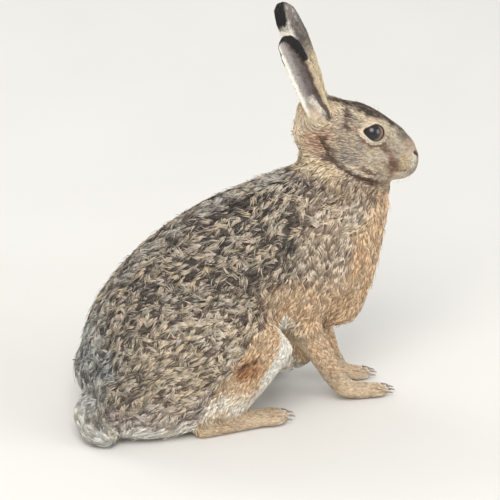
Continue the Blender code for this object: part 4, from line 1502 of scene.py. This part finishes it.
def make_eye(name, finish):
    """A clear-fronted eyeball with its cornea standing slightly proud and its hidden back drawn in."""
    eye = EYES[name]
    angle = np.repeat(np.linspace(0, math.pi, EYE_ROWS), EYE_COLUMNS)
    turn = np.tile(np.arange(EYE_COLUMNS) * 2 * math.pi / EYE_COLUMNS, EYE_ROWS)
    sideways = np.outer(np.cos(turn), eye.along) + np.outer(np.sin(turn), eye.up)
    out = np.outer(np.cos(angle), eye.look) + np.sin(angle)[:, None] * sideways
    measure = np.maximum(eye.opening(eye.centre + out * EYE_RADIUS), 0.01)
    beyond = angle - np.arcsin(np.minimum(np.sin(angle) / measure, 1))
    radius = EYE_RADIUS + CORNEA_RISE * np.exp(-((angle / 0.75) ** 2))
    radius -= EYE_BACK_DROP * ramp(beyond, 0.07, 0.4)
    points = eye.centre + out * radius[:, None]
    from_gaze = np.linalg.norm(out - eye.gaze, axis=1) / IRIS_SIZE
    iris = np.stack([np.minimum(from_gaze, 1), np.cos(turn), np.sin(turn)], 1)
    used, triangles = with_single_poles(grid_faces(EYE_ROWS, EYE_COLUMNS), EYE_COLUMNS, len(points))
    if np.linalg.det(np.stack([eye.along, eye.up, eye.look])) < 0:
        triangles = triangles[:, ::-1]
    made = mesh_object(f"eyeball_{name}", from_head(points[used]), triangles)
    give_vectors(made, "iris", iris[used])
    put_on(made, finish)
    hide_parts(f"eye_{name}")


def grid_faces(rows, columns):
    """Triangles of a closed tube of rows rings."""
    faces = []
    for r in range(rows - 1):
        for c in range(columns):
            d = (c + 1) % columns
            a, b, e, f = r * columns + c, r * columns + d, (r + 1) * columns + d, (r + 1) * columns + c
            faces += [(a, e, b), (a, f, e)]
    return np.array(faces)


def tube(path, radii, sides, closed=False):
    """Points and triangles of a round tube along a path."""
    path = np.array(path, float)
    if closed:
        path = np.vstack([path, path[:1]])
    tangent = unit(np.gradient(path, axis=0))
    if closed:
        tangent[0] = tangent[-1] = unit(path[1] - path[-2])
    side = unit(np.cross(tangent, (0.21, 0.35, 0.91)))  # any way that no tube runs along
    other = np.cross(tangent, side)
    turns = np.arange(sides) * 2 * math.pi / sides
    rings = [
        at + (s * math.cos(t) + o * math.sin(t)) * r
        for at, s, o, r in zip(path, side, other, radii)
        for t in turns
    ]
    faces = grid_faces(len(path), sides)[:, ::-1].tolist()
    if not closed:
        last = (len(path) - 1) * sides
        for k in range(1, sides - 1):
            faces += [(0, k + 1, k), (last, last + k, last + k + 1)]
    return np.array(rings), np.array(faces)


def make_lids(finish):
    """The bare dark rims of the lids."""
    turns = np.linspace(0, 2 * math.pi, 72, endpoint=False)
    thick = [LID_RIM + 0.22 * math.sin(t) for t in turns] + [LID_RIM]
    rims = [[eye.rim(t, EYE_RADIUS + RIM_STANDS) for t in turns] for eye in EYES.values()]
    points, triangles, _ = joined([tube(rim, thick, 8, closed=True) for rim in rims])
    put_on(mesh_object("lid_rims", from_head(points), triangles), finish)


def make_whiskers(finish, rng):
    """Long stiff hairs from the pads, and a few over each eye, tapering to nothing."""
    starts = [((94 + 5 * i, 17 - 1.1 * i, 6 - 4.5 * row), 34 + 6 * (3 - i) + 3 * row)
              for row in range(3) for i in range(4)]
    starts += [((50 + 5 * i, 15, 34), 17) for i in range(2)]
    share = np.linspace(0, 1, 9)[:, None]
    radii = WHISKER_RADIUS * (1 - share[:, 0]) ** 0.8 + 0.03
    droop = np.array((-0.55, -0.1, -0.35)) * 0.5 * share**2
    parts = []
    for side in SIDES.values():
        for (x, y, z), length in starts:
            way = unit(np.array((0.05 - 0.25 * rng.random(), 1.0, 0.15 - 0.02 * (6 - z))))
            path = np.array((x, y - 2.0, z)) + (way * share + droop) * length
            parts.append(tube(path * (1, side, 1), radii, 4))
    points, triangles, _ = joined(parts)
    made = mesh_object("whiskers", from_head(points), triangles)
    measure = np.zeros((len(points), 3))
    measure[:, 1] = np.tile(np.repeat(share[:, 0], 4), len(parts))
    give_vectors(made, "lock", measure)
    put_on(made, finish)


def make_claws(finish):
    """Each packed claw rounded off into a smooth horn of its own."""
    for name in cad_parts:
        if name.startswith("claw"):
            made = mesh_object(f"horn_{name}", *welded(name, 0))
            modify(made, "SUBSURF", levels=CLAW_ROUNDING)
            made.data.shade_smooth()
            put_on(made, finish)
            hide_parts(name)


# ---------------------------------------------------------------- the setting

CAMERA_AZIMUTH = -18
CAMERA_ELEVATION = 27
CAMERA_TARGET = (44.4, 65.4, 149.0)
CAMERA_LENS = 600
SENSOR = 36
VIEW_WIDTH = 0.55  # metres across the picture at the hare
# The studio's lights: place in metres, size, power and colour.
LIGHTS = {
    "key": ((-0.9, -1.7, 2.6), 1.8, 70, (1.0, 0.98, 0.95)),
    "fill": ((1.9, -1.5, 1.0), 1.6, 30, (1, 1, 1)),
    "rim": ((-1.2, 2.0, 1.8), 1.4, 20, (1, 1, 1)),
}
LIT_AT = (0, 0, 0.2)
SKY = (0.97, 0.98, 1.0, 1)
SKY_STRENGTH = 0.82
FLOOR_HALF = 6.0


def stand(name, data, place, way):
    """Puts a camera or a light at a place, facing that way."""
    made = linked(name, data)
    made.location = place
    made.rotation_euler = way.to_track_quat("-Z", "Y").to_euler()
    return made


def make_camera():
    azimuth, elevation = math.radians(CAMERA_AZIMUTH), math.radians(CAMERA_ELEVATION)
    away = math.cos(elevation)
    back = Vector((math.sin(azimuth) * away, -math.cos(azimuth) * away, math.sin(elevation)))
    lens = bpy.data.cameras.new("camera")
    lens.lens = CAMERA_LENS
    lens.sensor_width = SENSOR
    lens.clip_end = 100
    place = Vector(to_frame(CAMERA_TARGET)) + back * (VIEW_WIDTH * CAMERA_LENS / SENSOR)
    bpy.context.scene.camera = stand("camera", lens, place, -back)


def make_setting():
    world = bpy.data.worlds.new("studio")
    world.use_nodes = True
    set_inputs(world.node_tree.nodes["Background"], Color=SKY, Strength=SKY_STRENGTH)
    bpy.context.scene.world = world
    for name, (place, size, power, colour) in LIGHTS.items():
        light = bpy.data.lights.new(name, "AREA")
        light.size = size
        light.energy = power
        light.color = colour
        stand(name, light, place, Vector(LIT_AT) - Vector(place))
    corners = [(x * FLOOR_HALF, y * FLOOR_HALF, 0) for x, y in ((-1, -1), (1, -1), (1, 1), (-1, 1))]
    mesh = bpy.data.meshes.new("floor")
    mesh.from_pydata(corners, [], [(0, 1, 2, 3)])
    mesh.materials.append(floor_material())
    linked("floor", mesh)
    bpy.context.scene.view_settings.view_transform = "Standard"


# ---------------------------------------------------------------- all of it

def make_hare():
    rng = np.random.default_rng(SEED)
    noise.seed_set(SEED)  # noise_vector is seeded by the clock otherwise
    surface, weights = make_skin_surface()
    normals = surface.normals()
    ear = ear_measures(surface.points, normals, weights["ear"])
    flow = flow_field(surface, weights, normals, ear[3])
    marks = make_markings(surface.points, normals, weights, ear)
    skin = mesh_object("skin", surface.points, surface.triangles)
    # The skin takes the markings, darkened as painted shade under the coat.
    give_colours(skin, "fur", marks.mean() * UNDER_COAT_SHADE)
    modify(skin, "DECIMATE", ratio=SKIN_KEPT)
    put_on(skin, skin_material())
    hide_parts(*[name for name in flesh_nodes() if not name.startswith("eye")])

    sizes = coat_sizes(surface, weights, normals, ear)
    density = coat_density(surface, weights, normals, ear)
    hide = Hide(surface, weights, normals, flow, sizes, density, marks, ear[2])
    finish = fur_material()
    for name in COAT_PIECES:
        grow(hide, name, finish, rng)

    eye_finish = eye_material()
    for name in SIDES:
        make_eye(name, eye_finish)
    make_lids(lid_material())
    make_whiskers(whisker_material(), rng)
    make_claws(claw_material())


make_hare()
make_setting()
make_camera()
